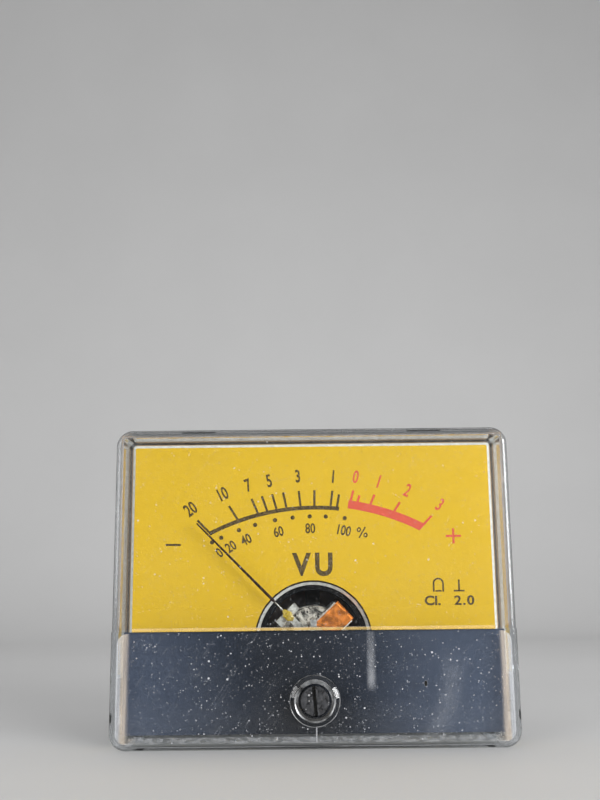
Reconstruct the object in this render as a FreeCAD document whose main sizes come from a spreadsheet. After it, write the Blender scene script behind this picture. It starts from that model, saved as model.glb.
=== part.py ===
"""Moving-coil panel level meter with a clear cover, as separate pieces.

Millimetres. X points right, Z up and Y back into the panel, with the face towards -Y.
The origin lies on the axis of the round rear barrel, in the plane where the cover meets the panel.
"""

import FreeCAD, Part
import ast
import math
import os
import re

import Sketcher

# Driving sizes, in millimetres and degrees

SIZES = {
    # clear front cover
    "front_width": 60.0,
    "front_height": 47.0,
    "front_corner": 2.5,
    "front_edge_round": 0.8,
    "barrel_drop": 2.5,
    "bezel_depth": 12.0,
    "window_wall": 1.6,
    "seam_drop": 6.7,
    "lower_raise": 0.6,
    "lower_wall": 1.8,
    "cover_wall": 1.0,
    "cover_inner_corner": 0.8,
    "cover_boss_radius": 2.2,
    "cover_boss_inset": 3.2,
    "cover_web_half": 0.6,
    "cover_pilot_radius": 0.8,
    "cover_pilot_depth": 6.0,
    # zero screw seat in the cover
    "zero_screw_drop": 16.7,
    "zero_boss_base_radius": 3.6,
    "zero_boss_top_radius": 3.0,
    "zero_boss_height": 0.3,
    # lower mask
    "mask_thickness": 0.5,
    "mask_side_gap": 0.8,
    "mask_low_gap": 1.1,
    "mask_hole_gap": 0.3,
    "mask_slide_room": 0.5,
    # clearances
    "fit_clearance": 0.1,
    "dial_clearance": 0.2,
    "turning_clearance": 0.05,
    "hole_clearance": 0.05,
    "running_gap": 0.2,
    "cut_overrun": 1.0,
    # dial plate
    "dial_thickness": 1.0,
    "dial_corner": 0.8,
    "dial_cutout_radius": 8.5,
    "dial_cutout_chamfer": 0.6,
    "dial_notch_clearance": 0.5,
    "dial_notch_rise": 1.0,
    "dial_ear_length": 6.4,
    "dial_screw_inset": 2.2,
    "dial_screw_drop": 2.4,
    # base plate and barrel
    "base_thickness": 2.4,
    "pilot_floor": 0.5,
    "base_corner": 1.0,
    "barrel_relief": 0.3,
    "barrel_radius": 18.9,
    "barrel_wall": 1.5,
    "spigot_wall": 0.7,
    "barrel_length": 22.0,
    "barrel_end_wall": 1.8,
    "barrel_end_round": 0.8,
    "tab_spread": 18.0,
    "tab_width": 5.0,
    "tab_rise": 0.4,
    "tab_thickness": 1.0,
    "tab_setback": 0.2,
    # mounting studs
    "stud_radius": 1.5,
    "stud_root_radius": 1.7,
    "stud_length": 14.0,
    "stud_inset": 5.0,
    "stud_top": 20.0,
    "stud_low": -12.0,
    "stud_head_radius": 2.7,
    "stud_head_height": 0.8,
    # small screws
    "screw_radius": 0.8,
    "screw_head_radius": 1.7,
    "screw_head_height": 0.8,
    "screw_slot_width": 0.4,
    "screw_slot_depth": 0.35,
    "dial_screw_length": 3.2,
    "frame_screw_length": 2.4,
    "cover_screw_length": 6.0,
    "cover_screw_sink": 0.2,
    "tiny_screw_radius": 0.6,
    "tiny_screw_head_radius": 1.2,
    "tiny_screw_head_height": 0.6,
    "bridge_screw_length": 2.4,
    "clamp_screw_length": 2.6,
    "rear_screw_length": 3.0,
    # terminals
    "terminal_spread": 9.5,
    "terminal_radius": 1.5,
    "terminal_neck_radius": 1.3,
    "terminal_neck_length": 1.2,
    "terminal_free_length": 3.4,
    "terminal_inner_end": 0.6,
    "collar_radius": 2.6,
    "collar_length": 2.0,
    "washer_radius": 3.2,
    "washer_thickness": 0.5,
    "lug_radius": 3.0,
    "lug_thickness": 0.5,
    "lug_width": 2.6,
    "lug_length": 7.5,
    "lug_eye_radius": 0.7,
    "nut_flats": 5.5,
    "nut_height": 2.4,
    # rectifier board
    "board_thickness": 1.6,
    "board_inset": 4.4,
    "board_top": 6.0,
    "board_low": -9.0,
    "diode_radius": 1.0,
    "diode_length": 4.0,
    "diode_pitch": 3.0,
    "diode_height": -5.0,
    "resistor_radius": 1.2,
    "resistor_length": 7.0,
    "resistor_height": 3.4,
    "wire_radius": 0.35,
    "rear_wire_place": 7.0,
    "front_wire_place": 12.6,
    "front_wire_inset": 11.0,
    "rear_wire_rise": 1.0,
    "wire_run_share": 0.45,
    # movement frame
    "frame_thickness": 0.8,
    "frame_inset": 5.8,
    "frame_corner": 2.0,
    "frame_ledge": 1.0,
    "frame_rim_above": 2.5,
    "frame_screw_clearance": 1.3,
    "frame_screw_angle": 48.0,
    "frame_screw_edge": 2.0,
    # magnet core, yoke and clamp
    "pivot_drop": 8.6,
    "core_share": 0.5,
    "core_length": 10.6,
    "core_edge": 0.3,
    "coil_gap": 0.8,
    "yoke_gap": 0.8,
    "yoke_clearance": 0.7,
    "yoke_spigot_length": 0.6,
    "clamp_thickness": 0.6,
    "clamp_half_width": 1.2,
    # moving coil
    "coil_angle": 47.0,
    "former_thickness": 0.3,
    "former_width": 3.9,
    "winding_thickness": 0.5,
    "winding_width": 3.5,
    "winding_round": 0.5,
    "coil_front_gap": 0.5,
    "coil_rear_gap": 0.3,
    # staffs and bearings
    "staff_radius": 0.3,
    "staff_base_radius": 1.0,
    "staff_base_thickness": 0.2,
    "collet_radius": 0.7,
    "collet_lead": 0.1,
    "pivot_cone_length": 0.8,
    "pivot_play": 0.05,
    "jewel_radius": 0.45,
    "jewel_length": 0.6,
    "jewel_cup_radius": 0.35,
    "jewel_cup_depth": 0.45,
    "jewel_screw_radius": 0.8,
    "jewel_screw_head_radius": 1.4,
    "jewel_screw_head_height": 0.4,
    "jewel_screw_recess": 0.3,
    # front bridge and zero lever
    "bridge_half_width": 12.5,
    "bridge_thickness": 0.8,
    "bridge_rise": 1.2,
    "bridge_drop": 1.4,
    "bridge_leg_thickness": 1.2,
    "bridge_leg_rise": 0.7,
    "bridge_foot_length": 4.0,
    "bridge_foot_thickness": 0.8,
    "bridge_screw_place": 14.6,
    "bridge_boss_radius": 1.1,
    "bridge_rim_radius": 1.45,
    "bridge_rim_thickness": 0.1,
    "lever_ring_radius": 2.2,
    "lever_thickness": 0.4,
    "lever_rear_gap": 0.1,
    "lever_arm_half_width": 0.7,
    "lever_fork_half_width": 1.4,
    "lever_fork_reach": 8.4,
    "lever_fork_depth": 2.2,
    "lever_tag_half_width": 0.45,
    "tag_thickness": 0.4,
    # zero screw
    "zero_head_radius": 2.1,
    "zero_head_proud": 0.2,
    "zero_head_height": 1.1,
    "zero_shank_radius": 1.4,
    "zero_slot_width": 0.5,
    "zero_slot_depth": 0.6,
    "zero_slot_tilt": -5.0,
    "zero_pin_radius": 0.5,
    "zero_pin_offset": 1.0,
    "fork_clearance": 0.1,
    "clip_radius": 2.3,
    "clip_thickness": 0.4,
    "clip_gap": 0.2,
    # pointer, carrier and balance weight
    "pointer_angle": -45.0,
    "pointer_reach": 25.6,
    "pointer_root": 4.3,
    "pointer_root_width": 0.6,
    "pointer_tip_width": 0.4,
    "pointer_thickness": 0.3,
    "carrier_hub_radius": 1.1,
    "carrier_hub_height": 0.9,
    "carrier_arm_thickness": 0.3,
    "carrier_arm_half_width": 0.5,
    "carrier_head_reach": 6.2,
    "carrier_head_depth": 1.2,
    "carrier_head_half_width": 2.0,
    "carrier_tail_reach": 5.4,
    "weight_radius": 1.0,
    "weight_length": 1.5,
    "weight_place": 2.9,
    # hairsprings
    "spring_thickness": 0.1,
    "spring_width": 0.4,
    "spring_pitch": 0.52,
    "spring_half_turns": 9,
    "spring_least_gap": 0.4,
    "spring_hub_gap": 0.3,
    "spring_lever_gap": 0.3,
    # rear bridge
    "pillar_radius": 1.1,
    "pillar_length": 4.6,
    "rear_bridge_thickness": 0.8,
    "rear_bridge_overhang": 1.3,
    "rear_bridge_half_height": 1.4,
    "rear_spring_gap": 0.6,
}

# Places worked out from the sizes

PLACES = {
    "cover_top": "barrel_drop + front_height / 2",
    "cover_low": "barrel_drop - front_height / 2",
    "cover_half": "front_width / 2",
    "inner_half": "cover_half - cover_wall",
    "inner_top": "cover_top - cover_wall",
    "inner_low": "cover_low + cover_wall",
    "seam_height": "barrel_drop - seam_drop",
    "pivot_height": "barrel_drop - pivot_drop",
    "zero_height": "barrel_drop - zero_screw_drop",
    "window_front": "-bezel_depth",
    "window_back": "window_front + window_wall",
    "lower_front": "window_front - lower_raise",
    "lower_back": "lower_front + lower_wall",
    "mask_back": "lower_back + mask_thickness",
    "cover_boss_front": "mask_back + mask_slide_room",
    "base_front": "-base_thickness",
    "frame_front": "base_front - frame_thickness",
    "dial_front": "frame_front - dial_thickness",
    "cover_boss_place": "inner_half - cover_boss_inset",
    "cover_boss_height": "inner_low + cover_boss_inset",
    "zero_boss_front": "lower_front - zero_boss_height",
    "zero_head_front": "zero_boss_front - zero_head_proud",
    "zero_head_back": "zero_head_front + zero_head_height",
    "zero_bore_radius": "zero_shank_radius + turning_clearance",
    "base_half": "inner_half - fit_clearance",
    "stud_spread": "inner_half - stud_inset",
    "frame_half_width": "inner_half - frame_inset",
    "dial_screw_spread": "frame_half_width - dial_screw_inset",
    "dial_notch_half": "bridge_half_width + bridge_foot_length + dial_notch_clearance",
    "base_top": "inner_top - fit_clearance",
    "base_low": "inner_low + fit_clearance",
    "tab_front": "base_front + tab_setback",
    "barrel_inner_radius": "barrel_radius - barrel_wall",
    "barrel_inner_end": "barrel_length - barrel_end_wall",
    "board_half_width": "barrel_inner_radius - board_inset",
    "spigot_radius": "barrel_inner_radius + spigot_wall",
    "dial_half": "inner_half - dial_clearance",
    "dial_top": "inner_top - dial_clearance",
    "dial_notch_height": "pivot_height + dial_notch_rise",
    "dial_low": "dial_notch_height - dial_ear_length",
    "dial_screw_height": "pivot_height - dial_screw_drop",
    "frame_screw_ring": "barrel_radius + frame_screw_clearance",
    "frame_screw_spread": "frame_screw_ring * cos(frame_screw_angle)",
    "frame_screw_height": "-frame_screw_ring * sin(frame_screw_angle)",
    "frame_low": "frame_screw_height - frame_screw_edge",
    "yoke_radius": "barrel_inner_radius + pivot_height - yoke_clearance",
    "frame_hole_radius": "yoke_radius - frame_ledge",
    "frame_top": "pivot_height + frame_hole_radius + frame_rim_above",
    "core_radius": "yoke_radius * core_share",
    "core_front": "dial_front",
    "core_back": "core_front + core_length",
    "clamp_back": "core_back + clamp_thickness",
    "former_inner_half": "core_radius + coil_gap",
    "former_outer_half": "former_inner_half + former_thickness",
    "winding_half": "former_outer_half + winding_thickness",
    "yoke_inner_radius": "winding_half + yoke_gap",
    "yoke_middle": "(yoke_inner_radius + yoke_radius) / 2",
    "yoke_spigot_radius": "frame_hole_radius - hole_clearance",
    "former_inner_front": "core_front - coil_front_gap",
    "former_front": "former_inner_front - former_thickness",
    "winding_front": "former_front - winding_thickness",
    "former_inner_back": "clamp_back + coil_rear_gap",
    "former_back": "former_inner_back + former_thickness",
    "winding_back": "former_back + winding_thickness",
    "carrier_back": "winding_front - staff_base_thickness",
    "carrier_arm_front": "carrier_back - carrier_arm_thickness",
    "carrier_hub_front": "carrier_back - carrier_hub_height",
    "pointer_front": "carrier_arm_front - pointer_thickness",
    "spring_back": "carrier_hub_front - spring_hub_gap",
    "spring_front": "spring_back - spring_width",
    "collet_front": "spring_front - collet_lead",
    "rim_back": "spring_front - spring_lever_gap",
    "rim_front": "rim_back - bridge_rim_thickness",
    "lever_back": "rim_front - lever_rear_gap",
    "lever_front": "lever_back - lever_thickness",
    "bridge_back": "lever_front - running_gap",
    "bridge_front": "bridge_back - bridge_thickness",
    "bridge_foot_height": "pivot_height + (bridge_leg_rise - bridge_drop) / 2",
    "front_screw_end": "rim_back - jewel_screw_recess",
    "front_cup_end": "front_screw_end - jewel_cup_depth",
    "front_tip": "front_cup_end + pivot_play",
    "spring_start": "collet_radius + spring_thickness / 2",
    "spring_reach": "spring_start + (spring_half_turns - 1) * spring_pitch / 2",
    "tag_inner": "spring_reach + spring_thickness / 2",
    "tag_outer": "tag_inner + tag_thickness",
    "clip_front": "mask_back + clip_gap",
    "clip_back": "clip_front + clip_thickness",
    "zero_pin_end": "lever_back + running_gap",
    "zero_pin_height": "zero_height + zero_pin_offset",
    "rear_bridge_front": "core_back + pillar_length",
    "rear_bridge_back": "rear_bridge_front + rear_bridge_thickness",
    "rear_base_back": "winding_back + staff_base_thickness",
    "rear_spring_front": "rear_base_back + rear_spring_gap",
    "rear_spring_back": "rear_spring_front + spring_width",
    "rear_collet_back": "rear_spring_back + collet_lead",
    "rear_screw_end": "rear_bridge_front - jewel_screw_recess",
    "rear_cup_end": "rear_screw_end + jewel_cup_depth",
    "rear_tip": "rear_cup_end - pivot_play",
    "collar_front": "barrel_inner_end - collar_length",
    "board_front": "collar_front - board_thickness",
    "inner_nut_front": "board_front - nut_height",
    "terminal_front": "inner_nut_front - terminal_inner_end",
    "washer_back": "barrel_length + washer_thickness",
    "lug_back": "washer_back + lug_thickness",
    "outer_nut_back": "lug_back + nut_height",
    "neck_back": "outer_nut_back + terminal_neck_length",
    "terminal_back": "neck_back + terminal_free_length",
}

V = FreeCAD.Vector
BACKWARDS = FreeCAD.Rotation(V(1, 0, 0), -90)

doc = FreeCAD.newDocument("level_meter")
sizes = doc.addObject("Spreadsheet::Sheet", "sizes")
places = doc.addObject("Spreadsheet::Sheet", "places")
nodes = []


def formula(text):
    """The same formula with every size and place read from its sheet."""

    def full(match):
        word = match.group(0)
        if word in SIZES:
            return "sizes." + word
        if word in PLACES:
            return "places." + word
        return word

    return re.sub(r"[a-z_]+", full, text)


def fill_sheets():
    """Writes the driving sizes and the places worked out from them."""
    for row, (alias, value) in enumerate(SIZES.items(), 1):
        sizes.set(f"A{row}", alias.replace("_", " "))
        sizes.set(f"B{row}", str(value))
        sizes.setAlias(f"B{row}", alias)
    doc.recompute()
    for row, alias in enumerate(PLACES, 1):
        places.set(f"A{row}", alias.replace("_", " "))
        places.setAlias(f"B{row}", alias)
    for row, text in enumerate(PLACES.values(), 1):
        places.set(f"B{row}", "=" + formula(text).replace("places.", ""))
    doc.recompute()


def worth(text):
    """The number that a formula of sizes and places comes to."""

    def read(part):
        if isinstance(part, ast.Constant):
            return part.value
        if isinstance(part, ast.Name):
            sheet = sizes if part.id in SIZES else places
            return float(sheet.get(part.id))
        if isinstance(part, ast.UnaryOp):
            return -read(part.operand)
        left = read(part.left)
        right = read(part.right)
        if isinstance(part.op, ast.Add):
            return left + right
        if isinstance(part.op, ast.Sub):
            return left - right
        if isinstance(part.op, ast.Mult):
            return left * right
        return left / right

    return read(ast.parse(text).body[0].value)


def bind(thing, **formulas):
    """Binds properties to formulas; a double underscore stands for a dot."""
    for name, text in formulas.items():
        thing.setExpression(name.replace("__", "."), formula(text))


# Sketched bodies


def new_body(name):
    body = doc.addObject("PartDesign::Body", name)
    body.Label = name
    return body


def base_plane(body, role):
    return next(f for f in body.Origin.OriginFeatures if f.Role == role)


def face_sketch(body, name, y):
    """A sketch seen from the front, at depth y: its x is X and its y is Z."""
    made = body.newObject("Sketcher::SketchObject", name)
    made.AttachmentSupport = [(base_plane(body, "XZ_Plane"), "")]
    made.MapMode = "FlatFace"
    bind(made, AttachmentOffset__Base__z=f"-({y})")
    return made


def side_sketch(body, name, x="0", z="0"):
    """A sketch seen from the right: its x is Y and its y is the height above z."""
    made = body.newObject("Sketcher::SketchObject", name)
    made.AttachmentSupport = [(base_plane(body, "YZ_Plane"), "")]
    made.MapMode = "FlatFace"
    bind(made, AttachmentOffset__Base__y=z, AttachmentOffset__Base__z=x)
    return made


def hold(sketch, kind, item, point, text):
    """Binds a point's distance from the sketch's origin."""
    value = worth(text)
    number = sketch.addConstraint(Sketcher.Constraint(kind, -1, 1, item, point, value))
    sketch.setExpression(f"Constraints[{number}]", formula(text))


def outline(sketch, points):
    """A closed outline of straight sides through the given points."""
    first = sketch.GeometryCount
    ends = [V(worth(a), worth(b), 0) for a, b in points]
    count = len(points)
    for k in range(count):
        sketch.addGeometry(Part.LineSegment(ends[k], ends[(k + 1) % count]), False)
    for k in range(count):
        sketch.addConstraint(Sketcher.Constraint("Coincident", first + k, 2, first + (k + 1) % count, 1))
    for k, (a, b) in enumerate(points):
        hold(sketch, "DistanceX", first + k, 1, a)
        hold(sketch, "DistanceY", first + k, 1, b)
    return sketch


def rectangle(sketch, left, right, low, high):
    return outline(sketch, [(left, low), (right, low), (right, high), (left, high)])


def circle(sketch, x, z, radius):
    centre = V(worth(x), worth(z), 0)
    item = sketch.addGeometry(Part.Circle(centre, V(0, 0, 1), worth(radius)), False)
    number = sketch.addConstraint(Sketcher.Constraint("Radius", item, worth(radius)))
    sketch.setExpression(f"Constraints[{number}]", formula(radius))
    hold(sketch, "DistanceX", item, 3, x)
    hold(sketch, "DistanceY", item, 3, z)
    return sketch


def pad(body, sketch, length):
    """Extrudes a face sketch towards the back."""
    made = body.newObject("PartDesign::Pad", sketch.Name + "_pad")
    made.Profile = sketch
    made.Reversed = True
    bind(made, Length=length)
    doc.recompute()
    return made


def pocket(body, sketch, length, to_front=False):
    """Cuts a face sketch towards the back, or towards the front."""
    before = body.Shape.Volume
    made = body.newObject("PartDesign::Pocket", sketch.Name + "_cut")
    made.Profile = sketch
    made.Reversed = to_front
    bind(made, Length=length)
    doc.recompute()
    if not body.Shape.Volume < before:
        raise RuntimeError(sketch.Name + " cuts nothing")
    return made


def round_edges(body, name, radius, wanted, kind="PartDesign::Fillet", size="Radius"):
    """Rounds or bevels the edges of the last feature that the test picks."""
    base = body.Tip
    picked = [f"Edge{k}" for k, e in enumerate(base.Shape.Edges, 1) if wanted(e)]
    if not picked:
        raise RuntimeError(name + " finds no edge")
    made = body.newObject(kind, name)
    made.Base = (base, picked)
    bind(made, **{size: radius})
    doc.recompute()
    return made


def runs_back(edge):
    """True for a straight edge along Y."""
    if not isinstance(edge.Curve, Part.Line):
        return False
    return abs(abs(edge.tangentAt(edge.FirstParameter).y) - 1) < 1e-6


def lies_at(edge, y):
    """True for an edge that lies wholly at depth y."""
    return all(abs(v.Point.y - y) < 1e-6 for v in edge.Vertexes) and abs(edge.CenterOfMass.y - y) < 1e-6


def turned(name, profile, x="0", z="0", listed=True):
    """A round piece about an axis along Y, from (depth, radius) points."""
    body = new_body(name)
    sketch = outline(side_sketch(body, name + "_profile", x, z), profile)
    made = body.newObject("PartDesign::Revolution", name + "_turn")
    made.Profile = sketch
    made.ReferenceAxis = (sketch, ["H_Axis"])
    made.Angle = 360
    doc.recompute()
    if listed:
        nodes.append(body)
    return body


def ring(name, inner, outer, front, back, x="0", z="0", listed=True):
    """A plain ring or, with no bore, a plain rod."""
    profile = [(front, inner), (back, inner), (back, outer), (front, outer)]
    return turned(name, profile, x, z, listed)


def together(name, members):
    """Identical pieces kept as one node of separate solids."""
    made = doc.addObject("Part::Compound", name)
    made.Label = name
    made.Links = members
    nodes.append(made)
    return made


def on_pivot(thing, angle="0"):
    """Carries a piece made about the origin to the pivot, turned clockwise as seen from the front."""
    thing.Placement = FreeCAD.Placement(V(0, 0, 0), FreeCAD.Rotation(V(0, 1, 0), 1))
    bind(thing, Placement__Base__z="pivot_height", Placement__Rotation__Angle=angle)


# Plain solids


def solid_box(name, x, y, z, width, depth, height):
    made = doc.addObject("Part::Box", name)
    bind(made, Length=width, Width=depth, Height=height)
    bind(made, Placement__Base__x=x, Placement__Base__y=y, Placement__Base__z=z)
    return made


def solid_rod(name, x, y, z, radius, length):
    """A rod that runs back from depth y."""
    made = doc.addObject("Part::Cylinder", name)
    made.Placement = FreeCAD.Placement(V(0, 0, 0), BACKWARDS)
    bind(made, Radius=radius, Height=length)
    bind(made, Placement__Base__x=x, Placement__Base__y=y, Placement__Base__z=z)
    return made


def fused(name, members):
    made = doc.addObject("Part::MultiFuse", name)
    made.Shapes = members
    return made


def cut(name, base, tool):
    made = doc.addObject("Part::Cut", name)
    made.Base = base
    made.Tool = tool
    return made


def listed(thing):
    thing.Label = thing.Name
    nodes.append(thing)
    return thing


def slotted_screw(name, x, z, head, end, reach, shank, head_radius, head_height, to_back=True):
    """A cheese-head screw whose head starts at depth head; its shank ends at depth end."""
    seat = f"{head} + {head_height}" if to_back else f"{head} - {head_height}"
    profile = [(head, "0"), (end, "0"), (end, shank), (seat, shank), (seat, head_radius), (head, head_radius)]
    body = turned(name, profile, x, z, listed=False)
    slot = face_sketch(body, name + "_slot", head)
    half = "screw_slot_width / 2"
    rectangle(slot, f"{x} - {head_radius} * 2", f"{x} + {head_radius} * 2", f"{z} - {half}", f"{z} + {half}")
    pocket(body, slot, reach, to_front=not to_back)
    return body


# Cover, mask and dial


def cover_section(name, front, low, high):
    """A block with the cover's outline and rounding, kept only from one height to another."""
    body = new_body(name)
    block = face_sketch(body, name + "_block", front)
    rectangle(block, "-cover_half", "cover_half", "cover_low", "cover_top")
    pad(body, block, f"-({front})")
    round_edges(body, name + "_corners", "front_corner", runs_back)
    face = worth(front)
    round_edges(body, name + "_round", "front_edge_round", lambda e: lies_at(e, face))
    waste = face_sketch(body, name + "_waste", f"{front} - cut_overrun")
    rectangle(waste, "-front_width", "front_width", low, high)
    pocket(body, waste, "bezel_depth * 2")
    return body


def front_cover():
    """Clear moulded cover: a window above and a slightly raised lower section."""
    body = cover_section("front_cover", "window_front", "cover_low - cut_overrun", "seam_height")
    lower = cover_section("lower_section", "lower_front", "seam_height", "cover_top + cut_overrun")
    join = body.newObject("PartDesign::Boolean", "both_sections")
    join.Type = "Fuse"
    join.setObjects([lower])
    doc.recompute()

    cavity = face_sketch(body, "cavity", "0")
    rectangle(cavity, "-inner_half", "inner_half", "inner_low", "inner_top")
    pocket(body, cavity, "-window_back", to_front=True)
    deeper = face_sketch(body, "lower_cavity", "window_back")
    rectangle(deeper, "-inner_half", "inner_half", "inner_low", "seam_height")
    pocket(body, deeper, "window_back - lower_back", to_front=True)

    def inner_corner(edge):
        spot = edge.CenterOfMass
        inside = abs(abs(spot.x) - worth("inner_half")) < 1e-6
        return runs_back(edge) and inside and edge.Length > worth("bezel_depth") / 2

    round_edges(body, "cavity_corners", "cover_inner_corner", inner_corner)

    bosses = face_sketch(body, "cover_bosses", "cover_boss_front")
    side_webs = face_sketch(body, "side_webs", "cover_boss_front")
    low_webs = face_sketch(body, "low_webs", "cover_boss_front")
    for sign in ("-", ""):
        circle(bosses, sign + "cover_boss_place", "cover_boss_height", "cover_boss_radius")
        low = "cover_boss_height - cover_web_half"
        high = "cover_boss_height + cover_web_half"
        rectangle(side_webs, sign + "cover_boss_place", f"{sign}(inner_half + cover_wall / 2)", low, high)
        left = f"{sign}cover_boss_place - cover_web_half"
        right = f"{sign}cover_boss_place + cover_web_half"
        rectangle(low_webs, left, right, "inner_low - cover_wall / 2", "cover_boss_height")
    for sketch in (side_webs, low_webs, bosses):
        pad(body, sketch, "base_front - cover_boss_front")
    pilots = face_sketch(body, "cover_pilots", "base_front")
    for sign in ("-", ""):
        circle(pilots, sign + "cover_boss_place", "cover_boss_height", "cover_pilot_radius")
    pocket(body, pilots, "cover_pilot_depth", to_front=True)

    seat = body.newObject("PartDesign::AdditiveCone", "zero_boss")
    seat.AttachmentSupport = [(base_plane(body, "XZ_Plane"), "")]
    seat.MapMode = "FlatFace"
    bind(seat, Radius1="zero_boss_base_radius", Radius2="zero_boss_top_radius", Height="zero_boss_height")
    bind(seat, AttachmentOffset__Base__y="zero_height", AttachmentOffset__Base__z="-lower_front")
    doc.recompute()
    sink = face_sketch(body, "zero_sink", "zero_boss_front")
    circle(sink, "0", "zero_height", "zero_head_radius + fit_clearance")
    pocket(body, sink, "zero_head_back - zero_boss_front")
    bore = circle(face_sketch(body, "zero_bore", "zero_head_back"), "0", "zero_height", "zero_bore_radius")
    pocket(body, bore, "lower_back - zero_head_back")

    catches = face_sketch(body, "tab_catches", "tab_front - running_gap")
    for sign in ("-", ""):
        left = f"{sign}tab_spread - tab_width / 2 - running_gap"
        right = f"{sign}tab_spread + tab_width / 2 + running_gap"
        rectangle(catches, left, right, "inner_top - fit_clearance", "base_top + tab_rise + running_gap")
    pocket(body, catches, "tab_thickness + 2 * running_gap")
    nodes.append(body)


def lower_mask():
    """Dark panel that slides down between the cover's lower section and its screw bosses."""
    body = new_body("lower_mask")
    plate = face_sketch(body, "mask_plate", "lower_back")
    side = "inner_half - mask_side_gap"
    rectangle(plate, f"-({side})", side, "inner_low + mask_low_gap", "seam_height - fit_clearance")
    pad(body, plate, "mask_thickness")
    holes = face_sketch(body, "mask_holes", "lower_back")
    circle(holes, "0", "zero_height", "zero_bore_radius + mask_hole_gap")
    pocket(body, holes, "mask_thickness")
    nodes.append(body)


def dial_plate():
    """Yellow dial with a round cut-out round the movement and two ears for its screws."""
    body = new_body("dial_plate")
    plate = face_sketch(body, "dial_outline", "dial_front")
    outline(
        plate,
        [
            ("-dial_half", "dial_low"),
            ("-dial_notch_half", "dial_low"),
            ("-dial_notch_half", "dial_notch_height"),
            ("dial_notch_half", "dial_notch_height"),
            ("dial_notch_half", "dial_low"),
            ("dial_half", "dial_low"),
            ("dial_half", "dial_top"),
            ("-dial_half", "dial_top"),
        ],
    )
    pad(body, plate, "dial_thickness")
    half = worth("dial_half")

    def outer_corner(edge):
        return runs_back(edge) and abs(abs(edge.CenterOfMass.x) - half) < 1e-6

    round_edges(body, "dial_corners", "dial_corner", outer_corner)
    opening = face_sketch(body, "dial_cutout", "dial_front")
    circle(opening, "0", "pivot_height", "dial_cutout_radius")
    pocket(body, opening, "dial_thickness")

    def cutout_edge(edge):
        round_edge = isinstance(edge.Curve, Part.Circle)
        return round_edge and lies_at(edge, worth("dial_front"))

    round_edges(body, "cutout_bevel", "dial_cutout_chamfer", cutout_edge, "PartDesign::Chamfer", "Size")
    holes = face_sketch(body, "dial_holes", "dial_front")
    for sign in ("-", ""):
        circle(holes, sign + "dial_screw_spread", "dial_screw_height", "screw_radius + hole_clearance")
    pocket(body, holes, "dial_thickness")
    nodes.append(body)


# Housing and its fasteners


def rear_barrel():
    """Round black cup that reaches back through the panel, with a spigot bonded into the base plate."""
    body = turned(
        "rear_barrel",
        [
            ("base_front", "barrel_inner_radius"),
            ("barrel_inner_end", "barrel_inner_radius"),
            ("barrel_inner_end", "0"),
            ("barrel_length", "0"),
            ("barrel_length", "barrel_radius"),
            ("0", "barrel_radius"),
            ("0", "spigot_radius"),
            ("base_front", "spigot_radius"),
        ],
        listed=False,
    )
    end = worth("barrel_length")
    round_edges(body, "barrel_end_edge", "barrel_end_round", lambda e: lies_at(e, end))
    holes = face_sketch(body, "terminal_holes", "barrel_inner_end")
    for sign in ("-", ""):
        circle(holes, sign + "terminal_spread", "0", "terminal_radius + hole_clearance")
    pocket(body, holes, "barrel_end_wall")
    nodes.append(body)


def base_plate():
    """Black plate that closes the cover behind, with a round hole for the barrel."""
    body = new_body("base_plate")
    base = face_sketch(body, "base_outline", "base_front")
    rectangle(base, "-base_half", "base_half", "base_low", "base_top")
    pad(body, base, "base_thickness")
    round_edges(body, "base_corners", "base_corner", runs_back)
    tabs = face_sketch(body, "tabs", "tab_front")
    for sign in ("-", ""):
        left = f"{sign}tab_spread - tab_width / 2"
        right = f"{sign}tab_spread + tab_width / 2"
        rectangle(tabs, left, right, "base_top - tab_rise", "base_top + tab_rise")
    pad(body, tabs, "tab_thickness")
    room = circle(face_sketch(body, "barrel_hole", "base_front"), "0", "0", "spigot_radius")
    pocket(body, room, "base_thickness")
    relief = circle(face_sketch(body, "barrel_relief_ring", "0"), "0", "0", "barrel_radius + fit_clearance")
    pocket(body, relief, "barrel_relief", to_front=True)

    studs = face_sketch(body, "stud_holes", "base_front")
    sinks = face_sketch(body, "stud_sinks", "base_front")
    for sign in ("-", ""):
        for height in ("stud_top", "stud_low"):
            circle(studs, sign + "stud_spread", height, "stud_root_radius")
            circle(sinks, sign + "stud_spread", height, "stud_head_radius + hole_clearance")
    pocket(body, studs, "base_thickness")
    pocket(body, sinks, "stud_head_height")

    through = face_sketch(body, "cover_screw_holes", "base_front")
    heads = face_sketch(body, "cover_screw_sinks", "0")
    for sign in ("-", ""):
        circle(through, sign + "cover_boss_place", "cover_boss_height", "screw_radius + fit_clearance")
        circle(heads, sign + "cover_boss_place", "cover_boss_height", "screw_head_radius + fit_clearance")
    pocket(body, through, "base_thickness")
    pocket(body, heads, "screw_head_height + cover_screw_sink", to_front=True)

    pilots = face_sketch(body, "front_pilots", "base_front")
    for sign in ("-", ""):
        circle(pilots, sign + "dial_screw_spread", "dial_screw_height", "screw_radius")
        circle(pilots, sign + "frame_screw_spread", "frame_screw_height", "screw_radius")
    pocket(body, pilots, "base_thickness - pilot_floor")
    nodes.append(body)


def mounting_studs():
    """Four threaded studs, sunk in the base plate, that reach back through the panel."""
    members = []
    profile = [
        ("base_front", "0"),
        ("stud_length", "0"),
        ("stud_length", "stud_radius"),
        ("0", "stud_radius"),
        ("0", "stud_root_radius"),
        ("base_front + stud_head_height", "stud_root_radius"),
        ("base_front + stud_head_height", "stud_head_radius"),
        ("base_front", "stud_head_radius"),
    ]
    for side, sign in (("left", "-"), ("right", "")):
        for height in ("top", "low"):
            members.append(
                turned(f"stud_{side}_{height}", profile, sign + "stud_spread", "stud_" + height, listed=False)
            )
    together("mounting_studs", members)


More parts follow.
